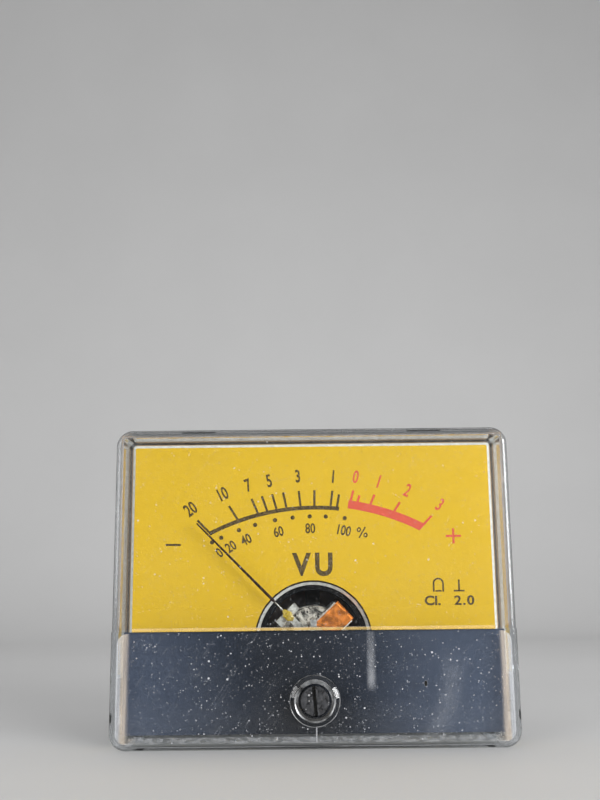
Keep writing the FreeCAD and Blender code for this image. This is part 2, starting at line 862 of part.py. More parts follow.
def housing_screws():
    """Screws of the cover, the dial and the movement frame."""
    cover = []
    dial = []
    frame = []
    for side, sign in (("left", "-"), ("right", "")):
        cover.append(
            slotted_screw(
                f"cover_screw_{side}", sign + "cover_boss_place", "cover_boss_height",
                "-cover_screw_sink", "-cover_screw_sink - cover_screw_length", "screw_slot_depth",
                "screw_radius", "screw_head_radius", "screw_head_height", to_back=False,
            )
        )
        dial.append(
            slotted_screw(
                f"dial_screw_{side}", sign + "dial_screw_spread", "dial_screw_height",
                "dial_front - screw_head_height", "dial_front + dial_screw_length", "screw_slot_depth",
                "screw_radius", "screw_head_radius", "screw_head_height",
            )
        )
        frame.append(
            slotted_screw(
                f"frame_screw_{side}", sign + "frame_screw_spread", "frame_screw_height",
                "frame_front - screw_head_height", "frame_front + frame_screw_length", "screw_slot_depth",
                "screw_radius", "screw_head_radius", "screw_head_height",
            )
        )
    together("cover_screws", cover)
    together("dial_screws", dial)
    together("frame_screws", frame)


# Terminals and circuit board


def terminals():
    """Two threaded terminals through the barrel's end, with washers, solder lugs and nuts."""
    studs = []
    washers = []
    lugs = []
    nuts = []
    profile = [
        ("terminal_front", "0"),
        ("terminal_back", "0"),
        ("terminal_back", "terminal_radius"),
        ("neck_back", "terminal_radius"),
        ("neck_back", "terminal_neck_radius"),
        ("outer_nut_back", "terminal_neck_radius"),
        ("outer_nut_back", "terminal_radius"),
        ("barrel_inner_end", "terminal_radius"),
        ("barrel_inner_end", "collar_radius"),
        ("collar_front", "collar_radius"),
        ("collar_front", "terminal_radius"),
        ("terminal_front", "terminal_radius"),
    ]
    for side, sign in (("left", "-"), ("right", "")):
        x = sign + "terminal_spread"
        bore = "terminal_radius + hole_clearance"
        drill_start = "washer_back - cut_overrun"
        drill_length = "lug_thickness + 2 * cut_overrun"
        studs.append(turned("terminal_" + side, profile, x, listed=False))
        washers.append(
            ring("washer_" + side, bore, "washer_radius", "barrel_length", "washer_back", x, listed=False)
        )
        tail_start = x if not sign else x + " - lug_length"
        blank = fused(
            "lug_blank_" + side,
            [
                solid_rod("lug_round_" + side, x, "washer_back", "0", "lug_radius", "lug_thickness"),
                solid_box(
                    "lug_tail_" + side, tail_start, "washer_back", "-lug_width / 2",
                    "lug_length", "lug_thickness", "lug_width",
                ),
            ],
        )
        eye = x + " - (lug_length - lug_width / 2)" if sign else x + " + lug_length - lug_width / 2"
        holes = fused(
            "lug_holes_" + side,
            [
                solid_rod("lug_bore_" + side, x, drill_start, "0", bore, drill_length),
                solid_rod("lug_eye_" + side, eye, drill_start, "0", "lug_eye_radius", drill_length),
            ],
        )
        lugs.append(cut("lug_" + side, blank, holes))
        for place, front in (("outer", "lug_back"), ("inner", "inner_nut_front")):
            blank = doc.addObject("Part::Prism", f"nut_blank_{side}_{place}")
            blank.Polygon = 6
            blank.Placement = FreeCAD.Placement(V(0, 0, 0), BACKWARDS)
            bind(blank, Circumradius="nut_flats / 2 / cos(30)", Height="nut_height")
            bind(blank, Placement__Base__x=x, Placement__Base__y=front)
            hole = solid_rod(
                f"nut_bore_{side}_{place}", x, front + " - cut_overrun", "0",
                "terminal_radius", "nut_height + 2 * cut_overrun",
            )
            nuts.append(cut(f"nut_{side}_{place}", blank, hole))
    together("terminal_studs", studs)
    together("terminal_washers", washers)
    together("solder_lugs", lugs)
    together("terminal_nuts", nuts)


def circuit_board():
    """Rectifier board on the inner ends of the terminals, with its parts and two leads."""
    body = new_body("rectifier_board")
    plate = face_sketch(body, "board_plate", "board_front")
    rectangle(plate, "-board_half_width", "board_half_width", "board_low", "board_top")
    pad(body, plate, "board_thickness")
    holes = face_sketch(body, "board_holes", "board_front")
    for sign in ("-", ""):
        circle(holes, sign + "terminal_spread", "0", "terminal_radius + hole_clearance")
    pocket(body, holes, "board_thickness")
    nodes.append(body)

    diodes = []
    for k in range(4):
        diode = doc.addObject("Part::Cylinder", f"diode_{k}")
        bind(diode, Radius="diode_radius", Height="diode_length")
        bind(diode, Placement__Base__x=f"({k} - 1.5) * diode_pitch")
        bind(diode, Placement__Base__y="board_front - diode_radius")
        bind(diode, Placement__Base__z="diode_height - diode_length / 2")
        diodes.append(diode)
    together("rectifier_diodes", diodes)

    resistor = doc.addObject("Part::Cylinder", "series_resistor")
    resistor.Placement = FreeCAD.Placement(V(0, 0, 0), FreeCAD.Rotation(V(0, 1, 0), 90))
    bind(resistor, Radius="resistor_radius", Height="resistor_length")
    bind(resistor, Placement__Base__x="-resistor_length / 2")
    bind(resistor, Placement__Base__y="board_front - resistor_radius")
    bind(resistor, Placement__Base__z="resistor_height")
    listed(resistor)


def bent_rod(points, radius):
    """A round rod along straight runs joined by arcs as large as the runs allow."""
    edges = []
    start = points[0]
    for before, corner, after in zip(points, points[1:], points[2:]):
        inward = (before - corner).normalize()
        onward = (after - corner).normalize()
        trim = worth("wire_run_share") * min((before - corner).Length, (after - corner).Length)
        first = corner + inward * trim
        last = corner + onward * trim
        turn = math.pi - inward.getAngle(onward)
        bend = trim / math.tan(turn / 2)
        centre = corner + (inward + onward).normalize() * (bend / math.cos(turn / 2))
        middle = centre + (corner - centre).normalize() * bend
        edges.append(Part.LineSegment(start, first).toShape())
        edges.append(Part.Arc(first, middle, last).toShape())
        start = last
    edges.append(Part.LineSegment(start, points[-1]).toShape())
    path = Part.Wire(edges)
    section = Part.Wire(Part.Circle(points[0], points[1] - points[0], radius).toShape())
    rod = path.makePipeShell([section], True, False)
    if abs(rod.Volume / (path.Length * math.pi * radius**2) - 1) > 0.01:
        raise RuntimeError("a lead's volume is not its section times its length")
    return rod


def lead_wires():
    """One lead from the rear bridge and one from the movement frame, both to the board."""
    board = worth("board_front")
    height = worth("pivot_height")
    near = worth("rear_wire_place")
    far = worth("front_wire_place")
    inset = worth("front_wire_inset")
    back = worth("rear_bridge_back")
    third = (board - back) / 3
    risen = height + worth("rear_wire_rise")
    short = [
        V(near, back, height),
        V(near, back + third, height),
        V(near, board - third, risen),
        V(near, board, risen),
    ]
    front = worth("base_front")
    quarter = (board - front) / 4
    long = [
        V(far, front, height),
        V(far, front + 2 * quarter, height),
        V(inset, board - quarter, height),
        V(inset, board, height),
    ]
    made = doc.addObject("Part::Feature", "lead_wires")
    radius = worth("wire_radius")
    made.Shape = Part.makeCompound([bent_rod(short, radius), bent_rod(long, radius)])
    listed(made)


# Zero adjuster


def zero_adjuster():
    """Slotted screw in the cover whose off-centre pin moves the zero lever's fork."""
    body = new_body("zero_screw")
    sketch = side_sketch(body, "zero_profile", "0", "zero_height")
    outline(
        sketch,
        [
            ("zero_head_front", "0"),
            ("clip_back", "0"),
            ("clip_back", "zero_shank_radius"),
            ("zero_head_back", "zero_shank_radius"),
            ("zero_head_back", "zero_head_radius"),
            ("zero_head_front", "zero_head_radius"),
        ],
    )
    made = body.newObject("PartDesign::Revolution", "zero_turn")
    made.Profile = sketch
    made.ReferenceAxis = (sketch, ["H_Axis"])
    made.Angle = 360
    doc.recompute()
    pin = face_sketch(body, "zero_pin", "clip_back")
    circle(pin, "0", "zero_pin_height", "zero_pin_radius")
    pad(body, pin, "zero_pin_end - clip_back")
    front = worth("zero_head_front")
    round_edges(
        body, "zero_head_bevel", "fit_clearance", lambda e: lies_at(e, front), "PartDesign::Chamfer", "Size"
    )
    slot = face_sketch(body, "zero_slot", "zero_head_front")
    bind(slot, AttachmentOffset__Base__y="zero_height")
    slot.AttachmentOffset = FreeCAD.Placement(slot.AttachmentOffset.Base, FreeCAD.Rotation(V(0, 0, 1), 1))
    bind(slot, AttachmentOffset__Rotation__Angle="-zero_slot_tilt")
    end = "zero_head_radius * 2"
    rectangle(slot, "-zero_slot_width / 2", "zero_slot_width / 2", f"-{end}", end)
    pocket(body, slot, "zero_slot_depth")
    nodes.append(body)
    ring("zero_screw_clip", "zero_shank_radius", "clip_radius", "clip_front", "clip_back", "0", "zero_height")

    lever = new_body("zero_lever")
    disc = circle(face_sketch(lever, "lever_ring", "lever_front"), "0", "0", "lever_ring_radius")
    pad(lever, disc, "lever_thickness")
    fork_top = "lever_fork_reach - lever_fork_depth - lever_fork_half_width"
    arms = face_sketch(lever, "lever_arm", "lever_front")
    outline(
        arms,
        [
            ("-lever_arm_half_width", "0"),
            ("-lever_arm_half_width", f"-({fork_top})"),
            ("-lever_fork_half_width", f"-({fork_top}) - lever_fork_half_width / 2"),
            ("-lever_fork_half_width", "-lever_fork_reach"),
            ("lever_fork_half_width", "-lever_fork_reach"),
            ("lever_fork_half_width", f"-({fork_top}) - lever_fork_half_width / 2"),
            ("lever_arm_half_width", f"-({fork_top})"),
            ("lever_arm_half_width", "0"),
        ],
    )
    pad(lever, arms, "lever_thickness")
    stem = face_sketch(lever, "lever_stem", "lever_front")
    rectangle(stem, "-lever_tag_half_width", "lever_tag_half_width", "0", "tag_outer")
    pad(lever, stem, "lever_thickness")
    tag = face_sketch(lever, "lever_tag", "lever_front")
    rectangle(tag, "-lever_tag_half_width", "lever_tag_half_width", "tag_inner", "tag_outer")
    pad(lever, tag, "spring_back - lever_front")
    hole = face_sketch(lever, "lever_hole", "lever_front")
    circle(hole, "0", "0", "bridge_boss_radius + turning_clearance")
    pocket(lever, hole, "lever_thickness")
    fork = face_sketch(lever, "lever_fork", "lever_front")
    gap = "zero_pin_radius + fork_clearance"
    end = "-lever_fork_reach - cut_overrun"
    rectangle(fork, f"-({gap})", gap, end, "lever_fork_depth - lever_fork_reach")
    pocket(lever, fork, "lever_thickness")
    on_pivot(lever)
    nodes.append(lever)


# Movement


def movement_frame():
    """Flat plate that carries the yoke, both bridges and the dial."""
    body = new_body("movement_frame")
    plate = face_sketch(body, "frame_plate", "frame_front")
    rectangle(plate, "-frame_half_width", "frame_half_width", "frame_low", "frame_top")
    pad(body, plate, "frame_thickness")
    round_edges(body, "frame_corners", "frame_corner", runs_back)
    holes = face_sketch(body, "frame_holes", "frame_front")
    circle(holes, "0", "pivot_height", "frame_hole_radius")
    for sign in ("-", ""):
        circle(holes, sign + "dial_screw_spread", "dial_screw_height", "screw_radius + hole_clearance")
        circle(holes, sign + "frame_screw_spread", "frame_screw_height", "screw_radius + hole_clearance")
        circle(holes, sign + "bridge_screw_place", "bridge_foot_height", "tiny_screw_radius")
    pocket(body, holes, "frame_thickness")
    nodes.append(body)


def magnet_and_yoke():
    """Magnet core, the iron ring round it and the bar that holds the core behind."""
    core = ring("core_magnet", "0", "core_radius", "core_front", "core_back", "0", "pivot_height")
    front = worth("core_front")
    round_edges(core, "core_bevel", "core_edge", lambda e: lies_at(e, front), "PartDesign::Chamfer", "Size")

    yoke = turned(
        "yoke_ring",
        [
            ("base_front - yoke_spigot_length", "yoke_inner_radius"),
            ("core_back", "yoke_inner_radius"),
            ("core_back", "yoke_radius"),
            ("base_front", "yoke_radius"),
            ("base_front", "yoke_spigot_radius"),
            ("base_front - yoke_spigot_length", "yoke_spigot_radius"),
        ],
        "0",
        "pivot_height",
    )
    taps = face_sketch(yoke, "yoke_taps", "core_back")
    for sign in ("-", ""):
        circle(taps, "0", f"pivot_height {sign or '+'} yoke_middle", "tiny_screw_radius")
    pocket(yoke, taps, "clamp_screw_length", to_front=True)

    clamp = new_body("core_clamp")
    bar = face_sketch(clamp, "clamp_bar", "core_back")
    reach = "yoke_radius - turning_clearance"
    rectangle(
        bar, "-clamp_half_width", "clamp_half_width", f"pivot_height - ({reach})", f"pivot_height + {reach}"
    )
    pad(clamp, bar, "clamp_thickness")
    holes = face_sketch(clamp, "clamp_holes", "core_back")
    screws = []
    for side, sign in (("low", "-"), ("top", "+")):
        spot = f"pivot_height {sign} yoke_middle"
        circle(holes, "0", spot, "tiny_screw_radius + hole_clearance")
        screws.append(
            slotted_screw(
                "clamp_screw_" + side, "0", spot, "clamp_back + tiny_screw_head_height",
                "clamp_back - clamp_screw_length", "screw_slot_depth", "tiny_screw_radius",
                "tiny_screw_head_radius", "tiny_screw_head_height", to_back=False,
            )
        )
    pocket(clamp, holes, "clamp_thickness")
    nodes.append(clamp)
    together("clamp_screws", screws)


def moving_coil():
    """Light frame and its copper winding, which turn between the core and the yoke."""
    former = new_body("coil_former")
    sketch = side_sketch(former, "former_loop", "-former_width / 2")
    rectangle(sketch, "former_front", "former_back", "-former_outer_half", "former_outer_half")
    rectangle(sketch, "former_inner_front", "former_inner_back", "-former_inner_half", "former_inner_half")
    made = former.newObject("PartDesign::Pad", "former_pad")
    made.Profile = sketch
    bind(made, Length="former_width")
    doc.recompute()
    on_pivot(former, "coil_angle")
    nodes.append(former)

    winding = new_body("coil_winding")
    sketch = side_sketch(winding, "winding_loop", "-winding_width / 2")
    rectangle(sketch, "winding_front", "winding_back", "-winding_half", "winding_half")
    made = winding.newObject("PartDesign::Pad", "winding_pad")
    made.Profile = sketch
    bind(made, Length="winding_width")
    doc.recompute()
    half = worth("winding_half")

    def outer_corner(edge):
        return abs(abs(edge.CenterOfMass.z) - half) < 1e-6 and abs(edge.CenterOfMass.x) < 1e-6

    round_edges(winding, "winding_corners", "winding_round", outer_corner)
    inside = side_sketch(winding, "winding_bore", "winding_width / 2")
    rectangle(inside, "former_front", "former_back", "-former_outer_half", "former_outer_half")
    hole = winding.newObject("PartDesign::Pocket", "winding_hole")
    hole.Profile = inside
    bind(hole, Length="winding_width")
    doc.recompute()
    on_pivot(winding, "coil_angle")
    nodes.append(winding)


def staffs():
    """Front and rear staffs, glued to the coil's ends, with a cone at each tip."""
    turned(
        "front_staff",
        [
            ("winding_front", "0"),
            ("winding_front", "staff_base_radius"),
            ("carrier_back", "staff_base_radius"),
            ("carrier_back", "staff_radius"),
            ("carrier_hub_front", "staff_radius"),
            ("carrier_hub_front", "collet_radius"),
            ("collet_front", "collet_radius"),
            ("collet_front", "staff_radius"),
            ("front_tip + pivot_cone_length", "staff_radius"),
            ("front_tip", "0"),
        ],
        "0",
        "pivot_height",
    )
    turned(
        "rear_staff",
        [
            ("winding_back", "0"),
            ("winding_back", "staff_base_radius"),
            ("rear_base_back", "staff_base_radius"),
            ("rear_base_back", "staff_radius"),
            ("rear_spring_front - collet_lead", "staff_radius"),
            ("rear_spring_front - collet_lead", "collet_radius"),
            ("rear_collet_back", "collet_radius"),
            ("rear_collet_back", "staff_radius"),
            ("rear_tip - pivot_cone_length", "staff_radius"),
            ("rear_tip", "0"),
        ],
        "0",
        "pivot_height",
    )


def bearing(side, screw_end, cup_end, jewel_far, bridge_face, head_face):
    """A jewel with a cup for the staff's cone, held in the end of a slotted screw."""
    turned(
        side + "_jewel",
        [
            (screw_end, "jewel_cup_radius"),
            (screw_end, "jewel_radius"),
            (jewel_far, "jewel_radius"),
            (jewel_far, "0"),
            (cup_end, "0"),
        ],
        "0",
        "pivot_height",
    )
    screw = turned(
        side + "_jewel_screw",
        [
            (screw_end, "jewel_radius"),
            (screw_end, "jewel_screw_radius"),
            (bridge_face, "jewel_screw_radius"),
            (bridge_face, "jewel_screw_head_radius"),
            (head_face, "jewel_screw_head_radius"),
            (head_face, "0"),
            (jewel_far, "0"),
            (jewel_far, "jewel_radius"),
        ],
        "0",
        "pivot_height",
        listed=False,
    )
    slot = face_sketch(screw, side + "_jewel_slot", head_face)
    half = "screw_slot_width / 2"
    wide = "jewel_screw_head_radius * 2"
    rectangle(slot, f"-{wide}", wide, f"pivot_height - {half}", f"pivot_height + {half}")
    pocket(screw, slot, "jewel_screw_head_height / 2", to_front=side == "rear")
    nodes.append(screw)


def bearings():
    bearing(
        "front", "front_screw_end", "front_cup_end", "front_screw_end - jewel_length",
        "bridge_front", "bridge_front - jewel_screw_head_height",
    )
    bearing(
        "rear", "rear_screw_end", "rear_cup_end", "rear_screw_end + jewel_length",
        "rear_bridge_back", "rear_bridge_back + jewel_screw_head_height",
    )


def front_bridge():
    """Bridge in front of the coil: a bar on two legs, with feet screwed to the frame."""
    body = new_body("front_bridge")
    bar = face_sketch(body, "bridge_bar", "bridge_front")
    low = "pivot_height - bridge_drop"
    rectangle(bar, "-bridge_half_width", "bridge_half_width", low, "pivot_height + bridge_rise")
    pad(body, bar, "bridge_thickness")
    legs = face_sketch(body, "bridge_legs", "bridge_front")
    feet = face_sketch(body, "bridge_feet", "frame_front - bridge_foot_thickness")
    high = "pivot_height + bridge_leg_rise"
    inner = "bridge_half_width - bridge_leg_thickness"
    outer = "bridge_half_width"
    toe = "bridge_half_width + bridge_foot_length"
    rectangle(legs, f"-({inner})", f"-{outer}", low, high)
    rectangle(legs, inner, outer, low, high)
    pad(body, legs, "frame_front - bridge_front")
    rectangle(feet, f"-({inner})", f"-({toe})", low, high)
    rectangle(feet, inner, toe, low, high)
    pad(body, feet, "bridge_foot_thickness")
    boss = circle(face_sketch(body, "bridge_boss", "bridge_back"), "0", "pivot_height", "bridge_boss_radius")
    pad(body, boss, "rim_back - bridge_back")
    rim = circle(face_sketch(body, "bridge_rim", "rim_front"), "0", "pivot_height", "bridge_rim_radius")
    pad(body, rim, "bridge_rim_thickness")
    bore = circle(face_sketch(body, "bridge_bore", "bridge_front"), "0", "pivot_height", "jewel_screw_radius")
    pocket(body, bore, "rim_back - bridge_front")
    holes = face_sketch(body, "bridge_holes", "frame_front - bridge_foot_thickness")
    screws = []
    for side, sign in (("left", "-"), ("right", "")):
        circle(holes, sign + "bridge_screw_place", "bridge_foot_height", "tiny_screw_radius + hole_clearance")
        screws.append(
            slotted_screw(
                "bridge_screw_" + side, sign + "bridge_screw_place", "bridge_foot_height",
                "frame_front - bridge_foot_thickness - tiny_screw_head_height",
                "frame_front - bridge_foot_thickness + bridge_screw_length", "screw_slot_depth",
                "tiny_screw_radius", "tiny_screw_head_radius", "tiny_screw_head_height",
            )
        )
    pocket(body, holes, "bridge_foot_thickness")
    nodes.append(body)
    together("bridge_screws", screws)


def rear_bridge():
    """Bar behind the coil on two pillars, with the rear spring's tag."""
    pillars = []
    screws = []
    body = new_body("rear_bridge")
    bar = face_sketch(body, "rear_bar", "rear_bridge_front")
    end = "yoke_middle + rear_bridge_overhang"
    half = "rear_bridge_half_height"
    rectangle(bar, f"-({end})", end, f"pivot_height - {half}", f"pivot_height + {half}")
    pad(body, bar, "rear_bridge_thickness")
    holes = face_sketch(body, "rear_bar_holes", "rear_bridge_front")
    circle(holes, "0", "pivot_height", "jewel_screw_radius")
    for side, sign in (("left", "-"), ("right", "")):
        x = sign + "yoke_middle"
        circle(holes, x, "pivot_height", "tiny_screw_radius + hole_clearance")
        pillars.append(
            ring(
                "pillar_" + side, "tiny_screw_radius", "pillar_radius", "core_back", "rear_bridge_front",
                x, "pivot_height", listed=False,
            )
        )
        screws.append(
            slotted_screw(
                "rear_screw_" + side, x, "pivot_height", "rear_bridge_back + tiny_screw_head_height",
                "rear_bridge_back - rear_screw_length", "screw_slot_depth", "tiny_screw_radius",
                "tiny_screw_head_radius", "tiny_screw_head_height", to_back=False,
            )
        )
    pocket(body, holes, "rear_bridge_thickness")
    nodes.append(body)
    together("rear_bridge_pillars", pillars)
    together("rear_bridge_screws", screws)
    listed(
        solid_box(
            "rear_spring_tag", "tag_inner", "rear_spring_front", "pivot_height - lever_tag_half_width",
            "tag_thickness", "rear_bridge_front - rear_spring_front", "2 * lever_tag_half_width",
        )
    )


def pointer_and_carrier():
    """White carrier on the staff, the long pointer across its head and a weight on its tail."""
    carrier = new_body("pointer_carrier")
    hub = circle(face_sketch(carrier, "carrier_hub", "carrier_hub_front"), "0", "0", "carrier_hub_radius")
    pad(carrier, hub, "carrier_hub_height")
    arm = face_sketch(carrier, "carrier_arm", "carrier_arm_front")
    neck = "carrier_head_reach - carrier_head_depth"
    outline(
        arm,
        [
            ("-carrier_arm_half_width", "-carrier_tail_reach"),
            ("carrier_arm_half_width", "-carrier_tail_reach"),
            ("carrier_arm_half_width", neck),
            ("carrier_head_half_width", neck),
            ("carrier_head_half_width", "carrier_head_reach"),
            ("-carrier_head_half_width", "carrier_head_reach"),
            ("-carrier_head_half_width", neck),
            ("-carrier_arm_half_width", neck),
        ],
    )
    pad(carrier, arm, "carrier_arm_thickness")
    bore = circle(face_sketch(carrier, "carrier_bore", "carrier_hub_front"), "0", "0", "staff_radius")
    pocket(carrier, bore, "carrier_hub_height")
    on_pivot(carrier, "pointer_angle")
    nodes.append(carrier)

    pointer = new_body("pointer")
    strip = face_sketch(pointer, "pointer_strip", "pointer_front")
    outline(
        strip,
        [
            ("-pointer_root_width / 2", "pointer_root"),
            ("pointer_root_width / 2", "pointer_root"),
            ("pointer_tip_width / 2", "pointer_reach"),
            ("-pointer_tip_width / 2", "pointer_reach"),
        ],
    )
    pad(pointer, strip, "pointer_thickness")
    on_pivot(pointer, "pointer_angle")
    nodes.append(pointer)

    weight = doc.addObject("Part::Cylinder", "weight_blank")
    bind(weight, Radius="weight_radius", Height="weight_length")
    bind(weight, Placement__Base__y="carrier_back - carrier_arm_thickness / 2")
    bind(weight, Placement__Base__z="-weight_place - weight_length")
    slot = solid_box(
        "weight_slot", "-carrier_arm_half_width", "carrier_arm_front",
        "-weight_place - weight_length - cut_overrun",
        "2 * carrier_arm_half_width", "carrier_arm_thickness", "weight_length + 2 * cut_overrun",
    )
    balance = cut("balance_weight", weight, slot)
    on_pivot(balance, "pointer_angle")
    listed(balance)


def spiral_strip(start, pitch, half_turns, thickness, width):
    """A flat spiral strip of half circles, its outer end straight above the centre."""
    step = pitch / 2

    def edge_arcs(shift):
        arcs = []
        for k in range(half_turns):
            radius = start + k * step + shift
            centre = V(0, 0, 0) if k % 2 == 0 else V(0, 0, -step)
            side = 1 if k % 2 == 0 else -1
            first = centre + V(0, 0, -side * radius)
            middle = centre + V(side * radius, 0, 0)
            last = centre + V(0, 0, side * radius)
            arcs.append(Part.Arc(first, middle, last).toShape())
        return arcs

    outer = edge_arcs(thickness / 2)
    inner = edge_arcs(-thickness / 2)
    start_cap = Part.makeLine(inner[0].firstVertex().Point, outer[0].firstVertex().Point)
    inner_end = V(0, 0, start + (half_turns - 1) * step - thickness / 2)
    end_cap = Part.makeLine(inner_end, inner_end + V(0, 0, thickness))
    loop = Part.Wire(Part.__sortEdges__(outer + inner + [start_cap, end_cap]))
    return Part.Face(loop).extrude(V(0, width, 0))


def least_gap(start, pitch, half_turns, thickness):
    """The least gap between a turn and the next, measured on points of the strip's middle line."""
    step = pitch / 2
    per_half_turn = 24
    points = []
    for k in range(half_turns):
        low = 0 if k % 2 == 0 else -step
        side = 1 if k % 2 == 0 else -1
        for n in range(per_half_turn):
            turn = math.pi * n / per_half_turn
            radius = start + k * step
            points.append((side * radius * math.sin(turn), low - side * radius * math.cos(turn)))
    gaps = [
        math.dist(points[i], points[j]) - thickness
        for i in range(len(points))
        for j in range(i + per_half_turn, len(points))
    ]
    return min(gaps)


def hairsprings():
    """Two spiral hairsprings: the front one ends on the zero lever, the rear one on its tag."""
    start = worth("spring_start")
    pitch = worth("spring_pitch")
    count = int(worth("spring_half_turns"))
    thickness = worth("spring_thickness")
    strip = spiral_strip(start, pitch, count, thickness, worth("spring_width"))
    gap = least_gap(start, pitch, count, thickness)
    print(f"hairspring least gap between turns {gap:.3f} mm")
    if gap < worth("spring_least_gap"):
        raise RuntimeError("the hairspring's turns lie too close")
    pivot = worth("pivot_height")
    front = doc.addObject("Part::Feature", "front_hairspring")
    front.Shape = strip.copy()
    front.Placement = FreeCAD.Placement(V(0, worth("spring_front"), pivot), FreeCAD.Rotation())
    listed(front)
    rear = doc.addObject("Part::Feature", "rear_hairspring")
    rear.Shape = strip.copy()
    sideways = FreeCAD.Rotation(V(0, 1, 0), 90)
    rear.Placement = FreeCAD.Placement(V(0, worth("rear_spring_front"), pivot), sideways)
    listed(rear)


def check_and_write():
    """Stops at any failed object or bad solid, then writes one file for each node."""
    doc.recompute()
    for thing in doc.Objects:
        if "Invalid" in thing.State or "Error" in thing.State:
            raise RuntimeError(thing.Name + " failed: " + ", ".join(thing.State))
    for node in nodes:
        if node.Shape.isNull() or not node.Shape.isValid() or not node.Shape.Solids:
            raise RuntimeError(node.Label + " has no valid shape")
    os.makedirs("parts", exist_ok=True)
    for node in nodes:
        node.Shape.exportStep(f"parts/{node.Label}.step")
        box = node.Shape.BoundBox
        sides = ((box.XMin, box.XMax), (box.YMin, box.YMax), (box.ZMin, box.ZMax))
        spans = "  ".join(f"{low:7.2f} {high:7.2f}" for low, high in sides)
        print(f"{node.Label:22s} {len(node.Shape.Solids)} {node.Shape.Volume:9.3f}  {spans}")


fill_sheets()
front_cover()
lower_mask()
dial_plate()
base_plate()
rear_barrel()
mounting_studs()
housing_screws()
terminals()
circuit_board()
lead_wires()
zero_adjuster()
movement_frame()
magnet_and_yoke()
moving_coil()
staffs()
bearings()
front_bridge()
rear_bridge()
pointer_and_carrier()
hairsprings()
check_and_write()
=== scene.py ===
"""Finishes, dial print and studio for a moving-coil panel level meter with a clear cover.

Metres. X points right, Z up and Y back into the panel, with the face towards -Y.
"""

import math

import bmesh
import bpy
from mathutils import Matrix, Vector


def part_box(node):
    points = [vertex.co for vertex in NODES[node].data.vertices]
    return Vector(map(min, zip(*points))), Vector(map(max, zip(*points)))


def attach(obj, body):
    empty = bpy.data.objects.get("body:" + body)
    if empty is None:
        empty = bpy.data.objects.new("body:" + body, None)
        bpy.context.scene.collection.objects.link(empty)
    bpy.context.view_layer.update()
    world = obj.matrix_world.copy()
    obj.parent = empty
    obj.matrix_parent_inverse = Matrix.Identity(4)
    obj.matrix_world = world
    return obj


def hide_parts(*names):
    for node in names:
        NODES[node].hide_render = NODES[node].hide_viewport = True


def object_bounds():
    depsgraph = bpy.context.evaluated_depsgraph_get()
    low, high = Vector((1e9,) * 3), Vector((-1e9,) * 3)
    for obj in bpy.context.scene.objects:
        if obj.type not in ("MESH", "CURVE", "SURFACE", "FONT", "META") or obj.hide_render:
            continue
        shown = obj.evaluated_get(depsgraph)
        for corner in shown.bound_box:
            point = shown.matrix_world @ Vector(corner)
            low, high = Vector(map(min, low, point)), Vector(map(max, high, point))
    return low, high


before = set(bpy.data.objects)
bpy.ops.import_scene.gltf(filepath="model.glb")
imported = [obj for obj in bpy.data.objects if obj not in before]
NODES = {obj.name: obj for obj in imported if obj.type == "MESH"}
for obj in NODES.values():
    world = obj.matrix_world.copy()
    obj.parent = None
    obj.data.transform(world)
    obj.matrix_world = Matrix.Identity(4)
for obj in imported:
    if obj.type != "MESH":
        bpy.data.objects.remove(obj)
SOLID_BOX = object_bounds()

bl_info = {
    "name": "Clear-fronted level meter",
    "version": (1, 0, 0),
    "blender": (4, 5, 0),
    "location": "3D View > Sidebar > Meter",
    "description": "Finishes, scale print, threads and studio for a moving-coil panel meter",
    "category": "Object",
}

MM = 0.001
UPRIGHT = Matrix.Rotation(math.pi / 2, 3, "X")
REST_LEAN = Matrix.Rotation(math.radians(-45), 3, "Y")


def node_end(node, axis, high):
    """How far a solid reaches along an axis, in millimetres."""
    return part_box(node)[1 if high else 0][axis] / MM


DIAL_FRONT = node_end("dial_plate", 1, False)
PIVOT = Vector((0.0, 0.0, (node_end("core_magnet", 2, False) + node_end("core_magnet", 2, True)) / 2))


# Properties that a user may change


def length(name, description, millimetres):
    return bpy.props.FloatProperty(
        name=name,
        description=description,
        default=millimetres * MM,
        precision=6,
        unit="LENGTH",
        subtype="DISTANCE",
    )


def amount(name, description, value):
    return bpy.props.FloatProperty(name=name, description=description, default=value, subtype="FACTOR")


def power(name, description, watts):
    return bpy.props.FloatProperty(name=name, description=description, default=watts, unit="POWER")


def colour(name, description, red, green, blue):
    """A colour given as the screen shows it, from 0 to 255."""

    def linear(part):
        return ((part / 255 + 0.055) / 1.055) ** 2.4 if part > 10 else part / 255 / 12.92

    shade = (linear(red), linear(green), linear(blue), 1.0)
    return bpy.props.FloatVectorProperty(
        name=name, description=description, default=shade, size=4, min=0.0, max=1.0, subtype="COLOR"
    )


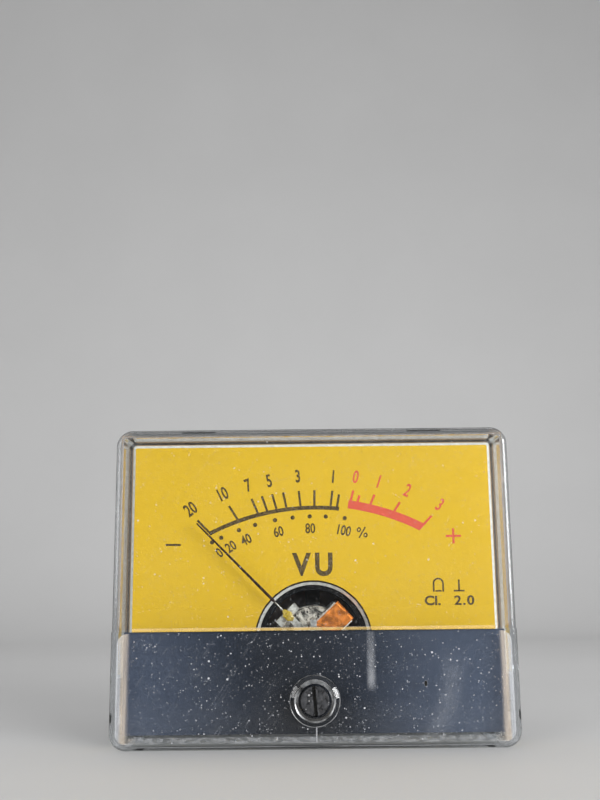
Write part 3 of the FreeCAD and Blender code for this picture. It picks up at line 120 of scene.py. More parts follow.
class MeterPrint(bpy.types.PropertyGroup):
    """Sizes of what is printed on the dial."""

    arc_drop: length("Arc centre drop", "How far the scale's arcs are centred below the pivot", 16.1)
    arc_shift: length("Arc centre shift", "How far the arcs are centred right of the pivot", 0.1)
    arc_inner: length("Arc inner radius", "Inner radius of the black arc", 36.33)
    arc_outer: length("Arc outer radius", "Outer radius of the black arc", 36.95)
    band_outer: length("Red band radius", "Outer radius of the red band", 38.15)
    tick_reach: length("Tick reach", "Radius at which the black ticks end", 39.4)
    red_reach: length("Red tick reach", "Radius at which the red ticks end", 39.8)
    half_reach: length("Half tick reach", "Radius at which the half ticks end", 38.9)
    tick_width: length("Tick width", "Width of a tick", 0.35)
    numeral_height: length("Numeral height", "Height of the level numerals", 2.1)
    label_height: length("Percent height", "Height of the percent numerals", 1.62)
    numeral_width: amount("Numeral width", "Width of a numeral as a share of the plain letter", 0.65)
    label_width: amount("Percent width", "Width of a percent numeral as a share of the plain letter", 0.74)
    dot_ring: length("Dot ring", "Radius on which the percent dots lie", 35.25)
    dot_radius: length("Dot radius", "Radius of a percent dot", 0.34)
    ink_depth: length("Ink depth", "How far the print stands on the dial", 0.02)
    shift: length("Print shift", "How far the whole print lies right of the pivot", 0.2)


class MeterFinish(bpy.types.PropertyGroup):
    """Colours of the meter's parts."""

    dial: colour("Dial", "Yellow of the dial", 225, 181, 38)
    ink: colour("Ink", "Dark print", 50, 35, 12)
    red_ink: colour("Red ink", "Red print", 222, 84, 62)
    cover: colour("Cover", "Tint of the clear cover", 236, 240, 243)
    mask: colour("Mask", "Panel behind the lower section", 36, 41, 51)
    housing: colour("Housing", "Rear plate and barrel", 22, 22, 24)
    adjuster: colour("Adjuster", "Zero screw", 52, 53, 56)
    steel: colour("Steel", "Plated screws and staffs", 176, 178, 180)
    brass: colour("Brass", "Terminals, bearings and lever", 206, 172, 104)
    tin: colour("Tin", "Washers and lugs", 188, 188, 184)
    copper: colour("Copper", "Wire of the moving coil", 196, 117, 52)
    aluminium: colour("Aluminium", "Coil former and bare dial metal", 216, 214, 206)
    magnet: colour("Magnet", "Cast core", 178, 172, 160)
    dark_frame: colour("Dark frame", "Lacquered frame and yoke", 3, 3, 4)
    white_plastic: colour("White plastic", "Pointer carrier and pillars", 226, 224, 214)
    pointer: colour("Pointer", "Painted pointer", 48, 22, 16)
    bronze: colour("Bronze", "Hairsprings", 168, 124, 78)
    glue: colour("Glue", "Dried glue", 196, 166, 44)
    board: colour("Board", "Laminate of the rectifier board", 132, 96, 54)
    jewel: colour("Jewel", "Bearing stones", 168, 30, 60)
    dust: colour("Dust", "Dust on the cover", 206, 208, 212)


class MeterHardware(bpy.types.PropertyGroup):
    """Sizes of threads and nuts."""

    pitch: length("Pitch", "Thread pitch", 0.5)
    thread_depth: length("Thread depth", "Depth of the thread", 0.28)
    tip_round: length("Tip bevel", "Bevel at the end of a thread", 0.35)
    nut_bevel: length("Nut bevel", "Bevel on a nut's corners", 0.32)
    pointer_wire: length("Pointer wire width", "Width of the bare wire at the pointer's root", 0.2)
    pointer_shoulder: length("Pointer shoulder", "Distance from the pivot to the painted blade", 8.6)
    pointer_root: length("Pointer root width", "Width of the painted blade where it begins", 0.52)
    pointer_tip: length("Pointer tip width", "Width of the pointer at its tip", 0.24)


class MeterStage(bpy.types.PropertyGroup):
    """Floor, backdrop, lamps and camera."""

    sweep_half: length("Sweep half width", "Half the width of the floor and backdrop", 900.0)
    sweep_back: length("Sweep depth", "How far behind the meter the backdrop stands", 420.0)
    key_power: power("Key lamp", "Lamp at the upper left", 0.37)
    fill_power: power("Fill lamp", "Lamp at the right", 1.25)
    top_power: power("Top lamp", "Lamp above", 0.2)
    world_strength: amount("World light", "Strength of the light from all sides", 0.42)
    lens: bpy.props.FloatProperty(
        name="Lens", description="Focal length on a 36 mm sensor", default=43.02, unit="CAMERA"
    )


# Short hands for materials


def add(tree, kind, settings=None, **inputs):
    """Adds a node; inputs are numbers, colours or sockets, by name or as _0, _1 and so on."""
    node = tree.nodes.new("ShaderNode" + kind)
    for key, value in (settings or {}).items():
        setattr(node, key, value)
    feed(tree, node, **inputs)
    return node


def feed(tree, node, **inputs):
    for key, value in inputs.items():
        socket = node.inputs[int(key[1:])] if key[0] == "_" else node.inputs[key.replace("_", " ")]
        if isinstance(value, bpy.types.NodeSocket):
            tree.links.new(value, socket)
        else:
            socket.default_value = value


def maths(tree, operation, *values):
    settings = {"operation": operation}
    return add(tree, "Math", settings, **{f"_{k}": v for k, v in enumerate(values)}).outputs[0]


def times(tree, *values):
    return maths(tree, "MULTIPLY", *values)


def times_plus(tree, *values):
    """The first value times the second, plus the third."""
    return maths(tree, "MULTIPLY_ADD", *values)


def greater(tree, *values):
    return maths(tree, "MAXIMUM", *values)


def apart(tree, first, second):
    """How far apart two values are."""
    return maths(tree, "ABSOLUTE", maths(tree, "SUBTRACT", first, second))


def distance(tree, place):
    """How far a place is from the origin."""
    return add(tree, "VectorMath", {"operation": "LENGTH"}, _0=place).outputs["Value"]


def ramp(tree, value, low, high, to_low=0.0, to_high=1.0):
    """Smooth step from one value to another."""
    settings = {"interpolation_type": "SMOOTHSTEP"}
    made = add(tree, "MapRange", settings, _0=value, _1=low, _2=high, _3=to_low, _4=to_high)
    return made.outputs[0]


def mixed(tree, share, first, second, blend="MIX"):
    """A colour between two, by a share from 0 to 1."""
    node = tree.nodes.new("ShaderNodeMix")
    node.data_type = "RGBA"
    node.blend_type = blend
    feed(tree, node, _0=share, _6=first, _7=second)
    return node.outputs[2]


def millimetres(tree):
    """Place on the object in millimetres."""
    place = add(tree, "TexCoord").outputs["Object"]
    return add(tree, "VectorMath", {"operation": "SCALE"}, _0=place, _3=1 / MM).outputs[0]


def effect(name, inputs, outputs, build):
    """A shared node group, built the first time it is asked for."""
    tree = bpy.data.node_groups.get(name)
    if tree is None:
        tree = bpy.data.node_groups.new(name, "ShaderNodeTree")
        for label, value in inputs.items():
            kind = "NodeSocketVector" if value is None else "NodeSocketFloat"
            socket = tree.interface.new_socket(label, in_out="INPUT", socket_type=kind)
            if value is not None:
                socket.default_value = value
        for label in outputs:
            tree.interface.new_socket(label, in_out="OUTPUT", socket_type="NodeSocketFloat")
        source = tree.nodes.new("NodeGroupInput").outputs
        results = build(tree, {socket.name: socket for socket in source if socket.name})
        sink = tree.nodes.new("NodeGroupOutput")
        for label, socket in zip(outputs, results):
            tree.links.new(socket, sink.inputs[label])
    return tree


def place_effect(tree, group, **inputs):
    node = tree.nodes.new("ShaderNodeGroup")
    node.node_tree = group
    feed(tree, node, **inputs)
    return node.outputs


def uneven(tree, place, scale, spread=0.5, detail=4.0):
    """Soft patches from 0 to 1; scale is patches per millimetre."""

    def build(inner, given):
        noise = add(inner, "TexNoise", Vector=given["Place"], Scale=given["Scale"], Detail=given["Detail"])
        half = times(inner, given["Spread"], 0.5)
        low = maths(inner, "SUBTRACT", 0.5, half)
        return [ramp(inner, noise.outputs[0], low, maths(inner, "ADD", 0.5, half))]

    group = effect("Uneven", {"Place": None, "Scale": 1.0, "Spread": 0.5, "Detail": 4.0}, ["Mask"], build)
    return place_effect(tree, group, Place=place, Scale=scale, Spread=spread, Detail=detail)[0]


def specks(tree, place, scale, share):
    """Small round specks of many sizes."""

    def build(inner, given):
        cells = add(inner, "TexVoronoi", Vector=given["Place"], Scale=given["Scale"])
        chance = add(inner, "SeparateColor", Color=cells.outputs["Color"]).outputs[0]
        size = times(inner, maths(inner, "POWER", chance, 4.0), given["Share"])
        rough = add(inner, "TexNoise", Vector=given["Place"], Scale=times(inner, given["Scale"], 3.0))
        ragged = times_plus(inner, rough.outputs[0], 0.12, cells.outputs["Distance"])
        return [ramp(inner, maths(inner, "SUBTRACT", size, ragged), -0.05, 0.03)]

    group = effect("Specks", {"Place": None, "Scale": 1.0, "Share": 0.3}, ["Mask"], build)
    return place_effect(tree, group, Place=place, Scale=scale, Share=share)[0]


def hairlines(tree, place, scale, stretch, width):
    """Fine broken scratches; stretch shrinks the place along the scratches."""

    def build(inner, given):
        wander = add(inner, "TexNoise", Vector=given["Place"], Scale=0.08, Detail=2.0)
        settings = {"operation": "MULTIPLY_ADD"}
        bent = add(inner, "VectorMath", settings, _0=wander.outputs["Color"], _1=(1.2, 1.2, 1.2))
        inner.links.new(given["Place"], bent.inputs[2])
        drawn = add(inner, "VectorMath", {"operation": "MULTIPLY"}, _0=bent.outputs[0], _1=given["Stretch"])
        lines = add(inner, "TexNoise", Vector=drawn.outputs[0], Scale=given["Scale"], Detail=2.0)
        off = apart(inner, lines.outputs[0], 0.5)
        line = ramp(inner, off, given["Width"], 0.0)
        broken = add(inner, "TexNoise", Vector=given["Place"], Scale=0.35, Detail=3.0)
        return [times(inner, line, ramp(inner, broken.outputs[0], 0.48, 0.66))]

    inputs = {"Place": None, "Stretch": None, "Scale": 1.0, "Width": 0.01}
    group = effect("Hairlines", inputs, ["Mask"], build)
    return place_effect(tree, group, Place=place, Stretch=stretch, Scale=scale, Width=width)[0]


def rings(tree, place, pitch):
    """Turning marks round an axis along Y through the place's origin."""

    def build(inner, given):
        parts = add(inner, "SeparateXYZ", Vector=given["Place"]).outputs
        around = add(inner, "CombineXYZ", X=parts[0], Y=parts[2])
        radius = distance(inner, around.outputs[0])
        steps = maths(inner, "DIVIDE", radius, given["Pitch"])
        deep = add(inner, "TexNoise", {"noise_dimensions": "1D"}, W=steps, Scale=2.0, Detail=3.0)
        return [deep.outputs[0]]

    group = effect("Turning marks", {"Place": None, "Pitch": 0.05}, ["Height"], build)
    return place_effect(tree, group, Place=place, Pitch=pitch)[0]


def grain(tree, place, scale):
    """Fine even roughness of a moulded or cast skin."""

    def build(inner, given):
        fine = add(inner, "TexNoise", Vector=given["Place"], Scale=given["Scale"], Detail=6.0, Roughness=0.62)
        broad = maths(inner, "DIVIDE", given["Scale"], 9.0)
        coarse = add(inner, "TexNoise", Vector=given["Place"], Scale=broad)
        return [times_plus(inner, coarse.outputs[0], 0.5, fine.outputs[0])]

    group = effect("Grain", {"Place": None, "Scale": 8.0}, ["Height"], build)
    return place_effect(tree, group, Place=place, Scale=scale)[0]


def centred(tree, place, x, y, z, stretch=(1, 1, 1), angle=0.0):
    """The place seen from another centre, turned about Y and stretched."""
    moved = add(tree, "VectorMath", {"operation": "SUBTRACT"}, _0=place, _1=(x, y, z)).outputs[0]
    settings = {"vector_type": "POINT"}
    return add(tree, "Mapping", settings, Vector=moved, Rotation=(0, angle, 0), Scale=stretch).outputs[0]


def bump(tree, height, strength, depth):
    """A normal from a height; depth in millimetres."""
    return add(tree, "Bump", Height=height, Strength=strength, Distance=depth * MM).outputs[0]


def principled(tree):
    return tree.nodes["Principled BSDF"]


def surface(name, **plain):
    """A new material and its nodes; plain values go on the shader's own sockets."""
    material = bpy.data.materials.new(name)
    material.use_nodes = True
    tree = material.node_tree
    feed(tree, principled(tree), **plain)
    return material, tree


def coated(material, base, rough, height, strength, depth):
    """Feeds a colour, a roughness and a bump to a material's shader."""
    tree = material.node_tree
    normal = bump(tree, height, strength, depth)
    feed(tree, principled(tree), Base_Color=base, Roughness=rough, Normal=normal)
    return material


def tone(shade, factor):
    """The same colour, darker or lighter."""
    return (*[min(1.0, part * factor) for part in shade[:3]], 1.0)


# Finishes


def moulded(name, shade, gloss=0.35, coarse=9.0, dusty=0.35, shine=0.5):
    """Moulded plastic: fine grain, uneven gloss, rubbed spots and dust."""
    material, tree = surface(name, IOR=1.52, Specular_IOR_Level=shine)
    place = millimetres(tree)
    patches = uneven(tree, place, 0.12, 0.5)
    rubbed = hairlines(tree, place, 0.5, (1.0, 0.12, 0.5), 0.012)
    dots = specks(tree, place, 1.1, 0.3 * dusty)
    base = mixed(tree, patches, tone(shade, 0.82), tone(shade, 1.22))
    base = mixed(tree, times(tree, rubbed, 0.5 * dusty), base, (0.30, 0.30, 0.31, 1))
    base = mixed(tree, times(tree, dots, 0.8), base, (0.42, 0.41, 0.39, 1))
    rough = times_plus(tree, patches, 0.16, gloss)
    rough = times_plus(tree, dots, 0.35, rough)
    return coated(material, base, rough, grain(tree, place, coarse), 0.25, 0.02)


def plated(name, shade, rough=0.26, stretch=(1, 1, 1), tarnish=0.35, metallic=1.0):
    """Metal with a drawn or plated skin, thin tarnish and small knocks."""
    material, tree = surface(name, Metallic=metallic)
    place = millimetres(tree)
    drawn = add(tree, "VectorMath", {"operation": "MULTIPLY"}, _0=place, _1=stretch).outputs[0]
    lines = grain(tree, drawn, 7.0)
    patches = uneven(tree, place, 0.55, 0.4)
    marks = hairlines(tree, place, 1.6, (1.0, 0.4, 0.3), 0.02)
    base = mixed(tree, times(tree, patches, tarnish), tone(shade, 1.05), tone(shade, 0.62))
    base = mixed(tree, times(tree, marks, 0.4), base, tone(shade, 1.35))
    gloss = times_plus(tree, patches, 0.2, times_plus(tree, lines, 0.1, rough - 0.08))
    return coated(material, base, gloss, lines, 0.18, 0.012)


def turned_metal(name, shade, x, z, rough=0.25):
    """Metal turned on a lathe about an axis along Y."""
    material, tree = surface(name, Metallic=1.0)
    place = millimetres(tree)
    marks = rings(tree, centred(tree, place, x, 0, z), 0.06)
    patches = uneven(tree, place, 0.7, 0.45)
    base = mixed(tree, times(tree, patches, 0.4), shade, tone(shade, 0.6))
    base = mixed(tree, times(tree, marks, 0.25), base, tone(shade, 1.3))
    feed(
        tree,
        principled(tree),
        Base_Color=base,
        Roughness=times_plus(tree, patches, 0.22, rough),
        Normal=bump(tree, marks, 0.3, 0.01),
    )
    return material


def plastic_with_dirt_and_shade(finish):
    """White plastic of the pointer carrier, with random dark brown patches that are partly dirt and partly painted
    shade.
    """
    material, tree = surface("Soiled plastic", IOR=1.5)
    place = millimetres(tree)
    dirt = uneven(tree, place, 0.9, 0.34, 5.0)
    fine = uneven(tree, place, 3.2, 0.5, 5.0)
    base = mixed(tree, fine, tone(finish.white_plastic, 0.6), tone(finish.white_plastic, 0.95))
    # Dirt and painted shade: random patches turn dark brown.
    base = mixed(tree, times(tree, dirt, 0.85), base, (0.10, 0.08, 0.055, 1))
    rough = times_plus(tree, dirt, 0.3, 0.32)
    return coated(material, base, rough, fine, 0.4, 0.05)


def adjuster_plastic(finish):
    """Worn dark plastic of the zero screw, with painted shade that turns it black inside its slot."""
    material, tree = surface("Adjuster plastic", IOR=1.5)
    place = millimetres(tree)
    depth = add(tree, "SeparateXYZ", Vector=place).outputs[1]
    lumps = uneven(tree, place, 1.6, 0.45, 5.0)
    bright = specks(tree, place, 2.4, 0.4)
    base = mixed(tree, lumps, tone(finish.adjuster, 0.3), tone(finish.adjuster, 1.3))
    base = mixed(tree, times(tree, bright, 0.8), base, (0.42, 0.42, 0.43, 1))
    # Painted shade: deeper than 0.3 mm behind the screw's front, the plastic turns near black.
    front = node_end("zero_screw", 1, False)
    painted_slot_shade = ramp(tree, depth, front + 0.12, front + 0.3)
    base = mixed(tree, painted_slot_shade, base, (0.004, 0.004, 0.004, 1))
    rough = times_plus(tree, lumps, 0.2, 0.24)
    return coated(material, base, rough, lumps, 0.5, 0.08)


def polished_seat(finish):
    """Bright polished ring moulded round the zero screw."""
    material, tree = surface("Polished seat", IOR=1.55, Metallic=0.4, Coat_Weight=0.5, Coat_Roughness=0.05)
    place = millimetres(tree)
    streaks = uneven(tree, place, 0.6, 0.4)
    base = mixed(tree, streaks, tone(finish.steel, 0.06), tone(finish.steel, 0.8))
    dirt = specks(tree, place, 2.4, 0.4)
    base = mixed(tree, times(tree, dirt, 0.6), base, (0.02, 0.02, 0.02, 1))
    screw = [node_end("zero_screw", 2, high) for high in (False, True)]
    around = centred(tree, place, 0, 0, sum(screw) / 2, (1, 0, 1))
    reach = distance(tree, around)
    height = add(tree, "SeparateXYZ", Vector=around).outputs[2]
    # Painted shade: inside the ring, the groove is near black in its lower half and rougher.
    painted_groove_shade = times(tree, ramp(tree, reach, 2.84, 2.78), ramp(tree, height, 1.6, -0.6))
    base = mixed(tree, times(tree, painted_groove_shade, 0.9), base, (0.01, 0.009, 0.008, 1))
    rough = times_plus(tree, streaks, 0.12, 0.08)
    rough = times_plus(tree, painted_groove_shade, 0.5, rough)
    return coated(material, base, rough, streaks, 0.2, 0.04)


def clear_cover(finish):
    """Clear moulded polystyrene with flow lines, a weld line and fine scratches; painted shade darkens its rims and a
    painted reflection of the dial lies in its walls.
    """
    material, tree = surface("Clear cover", IOR=1.55, Transmission_Weight=1.0)
    place = millimetres(tree)
    parts = add(tree, "SeparateXYZ", Vector=place).outputs

    def wall(reach, inside):
        return ramp(tree, apart(tree, reach, inside), 0.12, 0.02)

    scratches = hairlines(tree, place, 0.5, (1.0, 1.0, 0.22), 0.01)
    worn = uneven(tree, place, 0.16, 0.5)
    sides = ramp(tree, maths(tree, "ABSOLUTE", parts[0]), 28.9, 29.3)
    ends = ramp(tree, apart(tree, parts[2], 2.5), 22.4, 22.8)
    rim = greater(tree, sides, ends)
    rough = times(tree, scratches, times_plus(tree, rim, 0.22, 0.06))
    rough = times_plus(tree, times(tree, worn, rim), 0.1, rough)
    weld = ramp(tree, maths(tree, "ABSOLUTE", parts[0]), 0.12, 0.0)
    below = ramp(tree, parts[2], -17.0, -17.6)
    above = ramp(tree, parts[2], 24.6, 24.9)
    weld = times(tree, weld, greater(tree, below, above))
    drawn = centred(tree, place, 0, 0, 0, (0.25, 0.9, 0.3))
    flow = add(tree, "TexNoise", Vector=drawn, Scale=0.5, Detail=2.0)
    ripple = add(tree, "TexNoise", Vector=place, Scale=2.0, Detail=4.0)
    flowing = times_plus(tree, ripple.outputs[0], 0.6, flow.outputs[0])
    flowing = times(tree, flowing, times_plus(tree, rim, 1.2, 0.02))
    height = times_plus(tree, weld, 0.5, flowing)
    height = times_plus(tree, times(tree, scratches, rim), -0.1, height)
    # Painted shade: the tint darkens at the top and bottom walls and at the side walls, and most above the top edge.
    tint_with_painted_light = mixed(tree, ends, finish.cover, tone(finish.cover, 0.55))
    tint_with_painted_light = mixed(tree, sides, tint_with_painted_light, tone(finish.cover, 0.72))
    tint_with_painted_light = mixed(tree, ramp(tree, parts[2], 25.3, 25.6), tint_with_painted_light, tone(finish.cover, 0.3))
    # Painted reflection: a thin warm orange line in the side and top walls, above the seam, stands for the yellow dial
    # mirrored there.
    beside = greater(tree, wall(maths(tree, "ABSOLUTE", parts[0]), 29.0), wall(parts[2], 25.0))
    painted_dial_reflection = times(tree, beside, ramp(tree, parts[2], -4.4, -4.0))
    tint_with_painted_light = mixed(tree, times(tree, painted_dial_reflection, 0.8), tint_with_painted_light, (0.86, 0.56, 0.30, 1))
    feed(tree, principled(tree), Base_Color=tint_with_painted_light, Roughness=rough, Normal=bump(tree, height, 0.3, 0.06))
    light = add(tree, "LightPath").outputs
    through = add(tree, "BsdfTransparent", Color=(0.95, 0.96, 0.96, 1)).outputs[0]
    bounced = add(tree, "MixShader", _0=light["Is Diffuse Ray"], _1=principled(tree).outputs[0], _2=through).outputs[0]
    shown = add(tree, "MixShader", _0=light["Is Shadow Ray"], _1=bounced, _2=through).outputs[0]
    tree.links.new(shown, tree.nodes["Material Output"].inputs["Surface"])
    return material


def dial_enamel(finish):
    """Yellow enamel on an aluminium plate, bare on its cut edges and back."""
    material, tree = surface("Dial enamel", IOR=1.45, Specular_IOR_Level=0.25)
    place = millimetres(tree)
    parts = add(tree, "SeparateXYZ", Vector=place).outputs
    broad = uneven(tree, place, 0.05, 0.55)
    fine = uneven(tree, place, 1.3, 0.6, 5.0)
    base = mixed(tree, times(tree, broad, 0.5), finish.dial, tone(finish.dial, 0.92))
    base = mixed(tree, times(tree, fine, 0.12), base, tone(finish.dial, 0.86))
    dots = specks(tree, place, 1.4, 0.22)
    base = mixed(tree, times(tree, dots, 0.2), base, (0.86, 0.74, 0.42, 1))
    stain = specks(tree, centred(tree, place, 3, 0, 9), 0.6, 0.2)
    base = mixed(tree, times(tree, stain, 0.3), base, tone(finish.dial, 0.6))
    bare = ramp(tree, parts[1], DIAL_FRONT + 0.01, DIAL_FRONT + 0.03)
    metal = mixed(tree, fine, tone(finish.aluminium, 1.4), tone(finish.aluminium, 0.95))
    sides = ramp(tree, maths(tree, "ABSOLUTE", parts[0]), 28.6, 28.7)
    rolled = greater(tree, sides, ramp(tree, parts[2], 24.6, 24.7))
    metal = mixed(tree, rolled, metal, (0.42, 0.27, 0.14, 1))
    base = mixed(tree, bare, base, metal)
    around = centred(tree, place, 0, 0, PIVOT.z, (1, 0, 1))
    edge = distance(tree, around)
    edge = times_plus(tree, fine, 0.05, edge)
    # Painted shadow: a thin dark ring on the enamel round the cut-out's edge.
    line = times(tree, ramp(tree, edge, 8.9, 8.98), ramp(tree, edge, 9.24, 9.16))
    base = mixed(tree, line, base, tone(finish.ink, 0.5))
    skin = grain(tree, place, 6.0)
    feed(
        tree,
        principled(tree),
        Base_Color=base,
        Roughness=times_plus(tree, fine, 0.12, times_plus(tree, bare, -0.1, 0.46)),
        Metallic=times(tree, bare, 0.15),
        Normal=bump(tree, skin, 0.16, 0.015),
    )
    return material


def print_ink(name, shade, worn):
    """Screened ink, a little thin in places, so the yellow shows through."""
    material, tree = surface(name, IOR=1.45)
    place = millimetres(tree)
    thin = uneven(tree, place, 2.6, 0.35, 6.0)
    broad = uneven(tree, place, 0.22, 0.5)
    base = mixed(tree, times(tree, thin, worn), shade, tone(bpy.context.scene.meter_finish.dial, 0.55))
    base = mixed(tree, times(tree, broad, 0.35), base, tone(shade, 0.7))
    rough = times_plus(tree, thin, 0.15, 0.42)
    return coated(material, base, rough, grain(tree, place, 10.0), 0.2, 0.008)


def mask_paint(finish):
    """Dark satin paint with drifting grey patches and dust, made lighter towards both sides by painted light."""
    material, tree = surface("Mask paint", IOR=1.5, Specular_IOR_Level=0.2)
    place = millimetres(tree)
    clouds = uneven(tree, place, 0.035, 0.7, 2.0)
    parts = add(tree, "SeparateXYZ", Vector=place).outputs
    # Painted light: the paint lightens smoothly from a dark middle, a little left of centre, towards both sides.
    side = ramp(tree, maths(tree, "ABSOLUTE", maths(tree, "ADD", parts[0], 3.0)), 2.0, 26.0)
    share = times_plus(tree, clouds, 0.24, times(tree, side, 0.72))
    base = mixed(tree, share, tone(finish.mask, 0.1), tone(finish.mask, 4.0))
    dots = specks(tree, place, 1.4, 0.16)
    base = mixed(tree, times(tree, dots, 0.5), base, (0.30, 0.31, 0.33, 1))
    rough = times_plus(tree, clouds, 0.18, 0.3)
    return coated(material, base, rough, grain(tree, place, 14.0), 0.06, 0.01)


def cast_magnet(finish):
    """Ground cast magnet with bright and dull crystals."""
    material, tree = surface("Cast magnet")
    place = millimetres(tree)
    crystals = add(tree, "TexVoronoi", Vector=place, Scale=1.7)
    shade = add(tree, "SeparateColor", Color=crystals.outputs["Color"]).outputs[1]
    patches = uneven(tree, place, 0.9, 0.5, 6.0)
    share = times_plus(tree, shade, 0.4, times(tree, patches, 0.6))
    share = ramp(tree, share, 0.28, 0.72)
    base = mixed(tree, share, tone(finish.magnet, 0.14), tone(finish.magnet, 1.5))
    pits = specks(tree, place, 2.2, 0.4)
    base = mixed(tree, pits, base, (0.03, 0.03, 0.03, 1))
    height = times_plus(tree, shade, 0.5, patches)
    feed(
        tree,
        principled(tree),
        Base_Color=base,
        Metallic=times_plus(tree, patches, -0.3, 0.9),
        Roughness=times_plus(tree, patches, 0.25, 0.28),
        Normal=bump(tree, height, 0.6, 0.12),
    )
    return material


def wound_copper(finish, across):
    """Close turns of enamelled wire; across is the direction over the turns."""
    material, tree = surface("Wound copper", Metallic=1.0)
    place = millimetres(tree)
    along = add(tree, "VectorMath", {"operation": "DOT_PRODUCT"}, _0=place, _1=across).outputs["Value"]
    wander = add(tree, "TexNoise", Vector=place, Scale=0.8, Detail=3.0).outputs[0]
    step = times_plus(tree, wander, 0.12, along)
    turns = maths(tree, "SINE", times(tree, step, 2 * math.pi / 0.16))
    creases = hairlines(tree, place, 1.1, (1.0, 1.0, 1.0), 0.03)
    patches = uneven(tree, place, 0.9, 0.4, 5.0)
    base = mixed(tree, patches, tone(finish.copper, 0.5), tone(finish.copper, 1.25))
    base = mixed(tree, times(tree, creases, 0.8), base, tone(finish.copper, 0.25))
    height = times_plus(tree, turns, 0.25, times(tree, creases, -0.8))
    rough = times_plus(tree, patches, 0.2, 0.3)
    return coated(material, base, rough, height, 0.5, 0.05)


def pointer_paint(finish):
    """Dark paint on an aluminium strip, bare near its root."""
    material, tree = surface("Pointer paint", Specular_IOR_Level=0.25)
    place = millimetres(tree)
    parts = add(tree, "SeparateXYZ", Vector=centred(tree, place, 0, 0, PIVOT.z)).outputs
    flat = add(tree, "CombineXYZ", X=parts[0], Y=parts[2])
    reach = distance(tree, flat.outputs[0])
    chips = uneven(tree, place, 2.5, 0.5, 5.0)
    painted = ramp(tree, times_plus(tree, chips, 0.5, reach), 8.4, 8.7)
    metal = mixed(tree, chips, finish.aluminium, tone(finish.aluminium, 0.6))
    paint = mixed(tree, chips, tone(finish.pointer, 0.35), tone(finish.pointer, 1.0))
    feed(
        tree,
        principled(tree),
        Base_Color=mixed(tree, painted, metal, paint),
        Metallic=times_plus(tree, painted, -0.9, 0.95),
        Roughness=times_plus(tree, chips, 0.15, 0.35),
        Normal=bump(tree, grain(tree, place, 9.0), 0.2, 0.01),
    )
    return material


def banded(name, shade, bands, axis=0):
    """A small lacquered part with painted bands: (from, to, colour) along an axis, in millimetres."""
    material, tree = surface(name, IOR=1.5)
    place = millimetres(tree)
    parts = add(tree, "SeparateXYZ", Vector=place).outputs
    patches = uneven(tree, place, 1.1, 0.5)
    base = mixed(tree, patches, tone(shade, 0.8), tone(shade, 1.15))
    for low, high, paint in bands:
        start = ramp(tree, parts[axis], low - 0.02, low + 0.02)
        end = ramp(tree, parts[axis], high + 0.02, high - 0.02)
        base = mixed(tree, times(tree, start, end), base, paint)
    rough = times_plus(tree, patches, 0.15, 0.3)
    return coated(material, base, rough, grain(tree, place, 4.0), 0.25, 0.03)


def laminate(finish):
    """Board of pressed paper with a faint weave and brown flecks."""
    material, tree = surface("Board laminate", IOR=1.5)
    place = millimetres(tree)
    fibres = hairlines(tree, place, 1.2, (0.3, 1.0, 1.0), 0.03)
    patches = uneven(tree, place, 0.4, 0.6)
    base = mixed(tree, patches, tone(finish.board, 0.8), tone(finish.board, 1.15))
    base = mixed(tree, times(tree, fibres, 0.5), base, tone(finish.board, 0.5))
    rough = times_plus(tree, patches, 0.2, 0.4)
    return coated(material, base, rough, fibres, 0.3, 0.03)


def dried_glue(finish):
    """Yellowed glue: glossy, cloudy and full of fine bubbles."""
    material, tree = surface("Dried glue", IOR=1.48, Coat_Weight=0.5, Coat_Roughness=0.15)
    place = millimetres(tree)
    cloud = uneven(tree, place, 1.4, 0.6, 5.0)
    bubbles = specks(tree, place, 3.5, 0.4)
    base = mixed(tree, cloud, tone(finish.glue, 0.65), tone(finish.glue, 1.25))
    base = mixed(tree, times(tree, bubbles, 0.5), base, (0.85, 0.80, 0.55, 1))
    rough = times_plus(tree, cloud, 0.2, 0.25)
    return coated(material, base, rough, cloud, 0.5, 0.1)


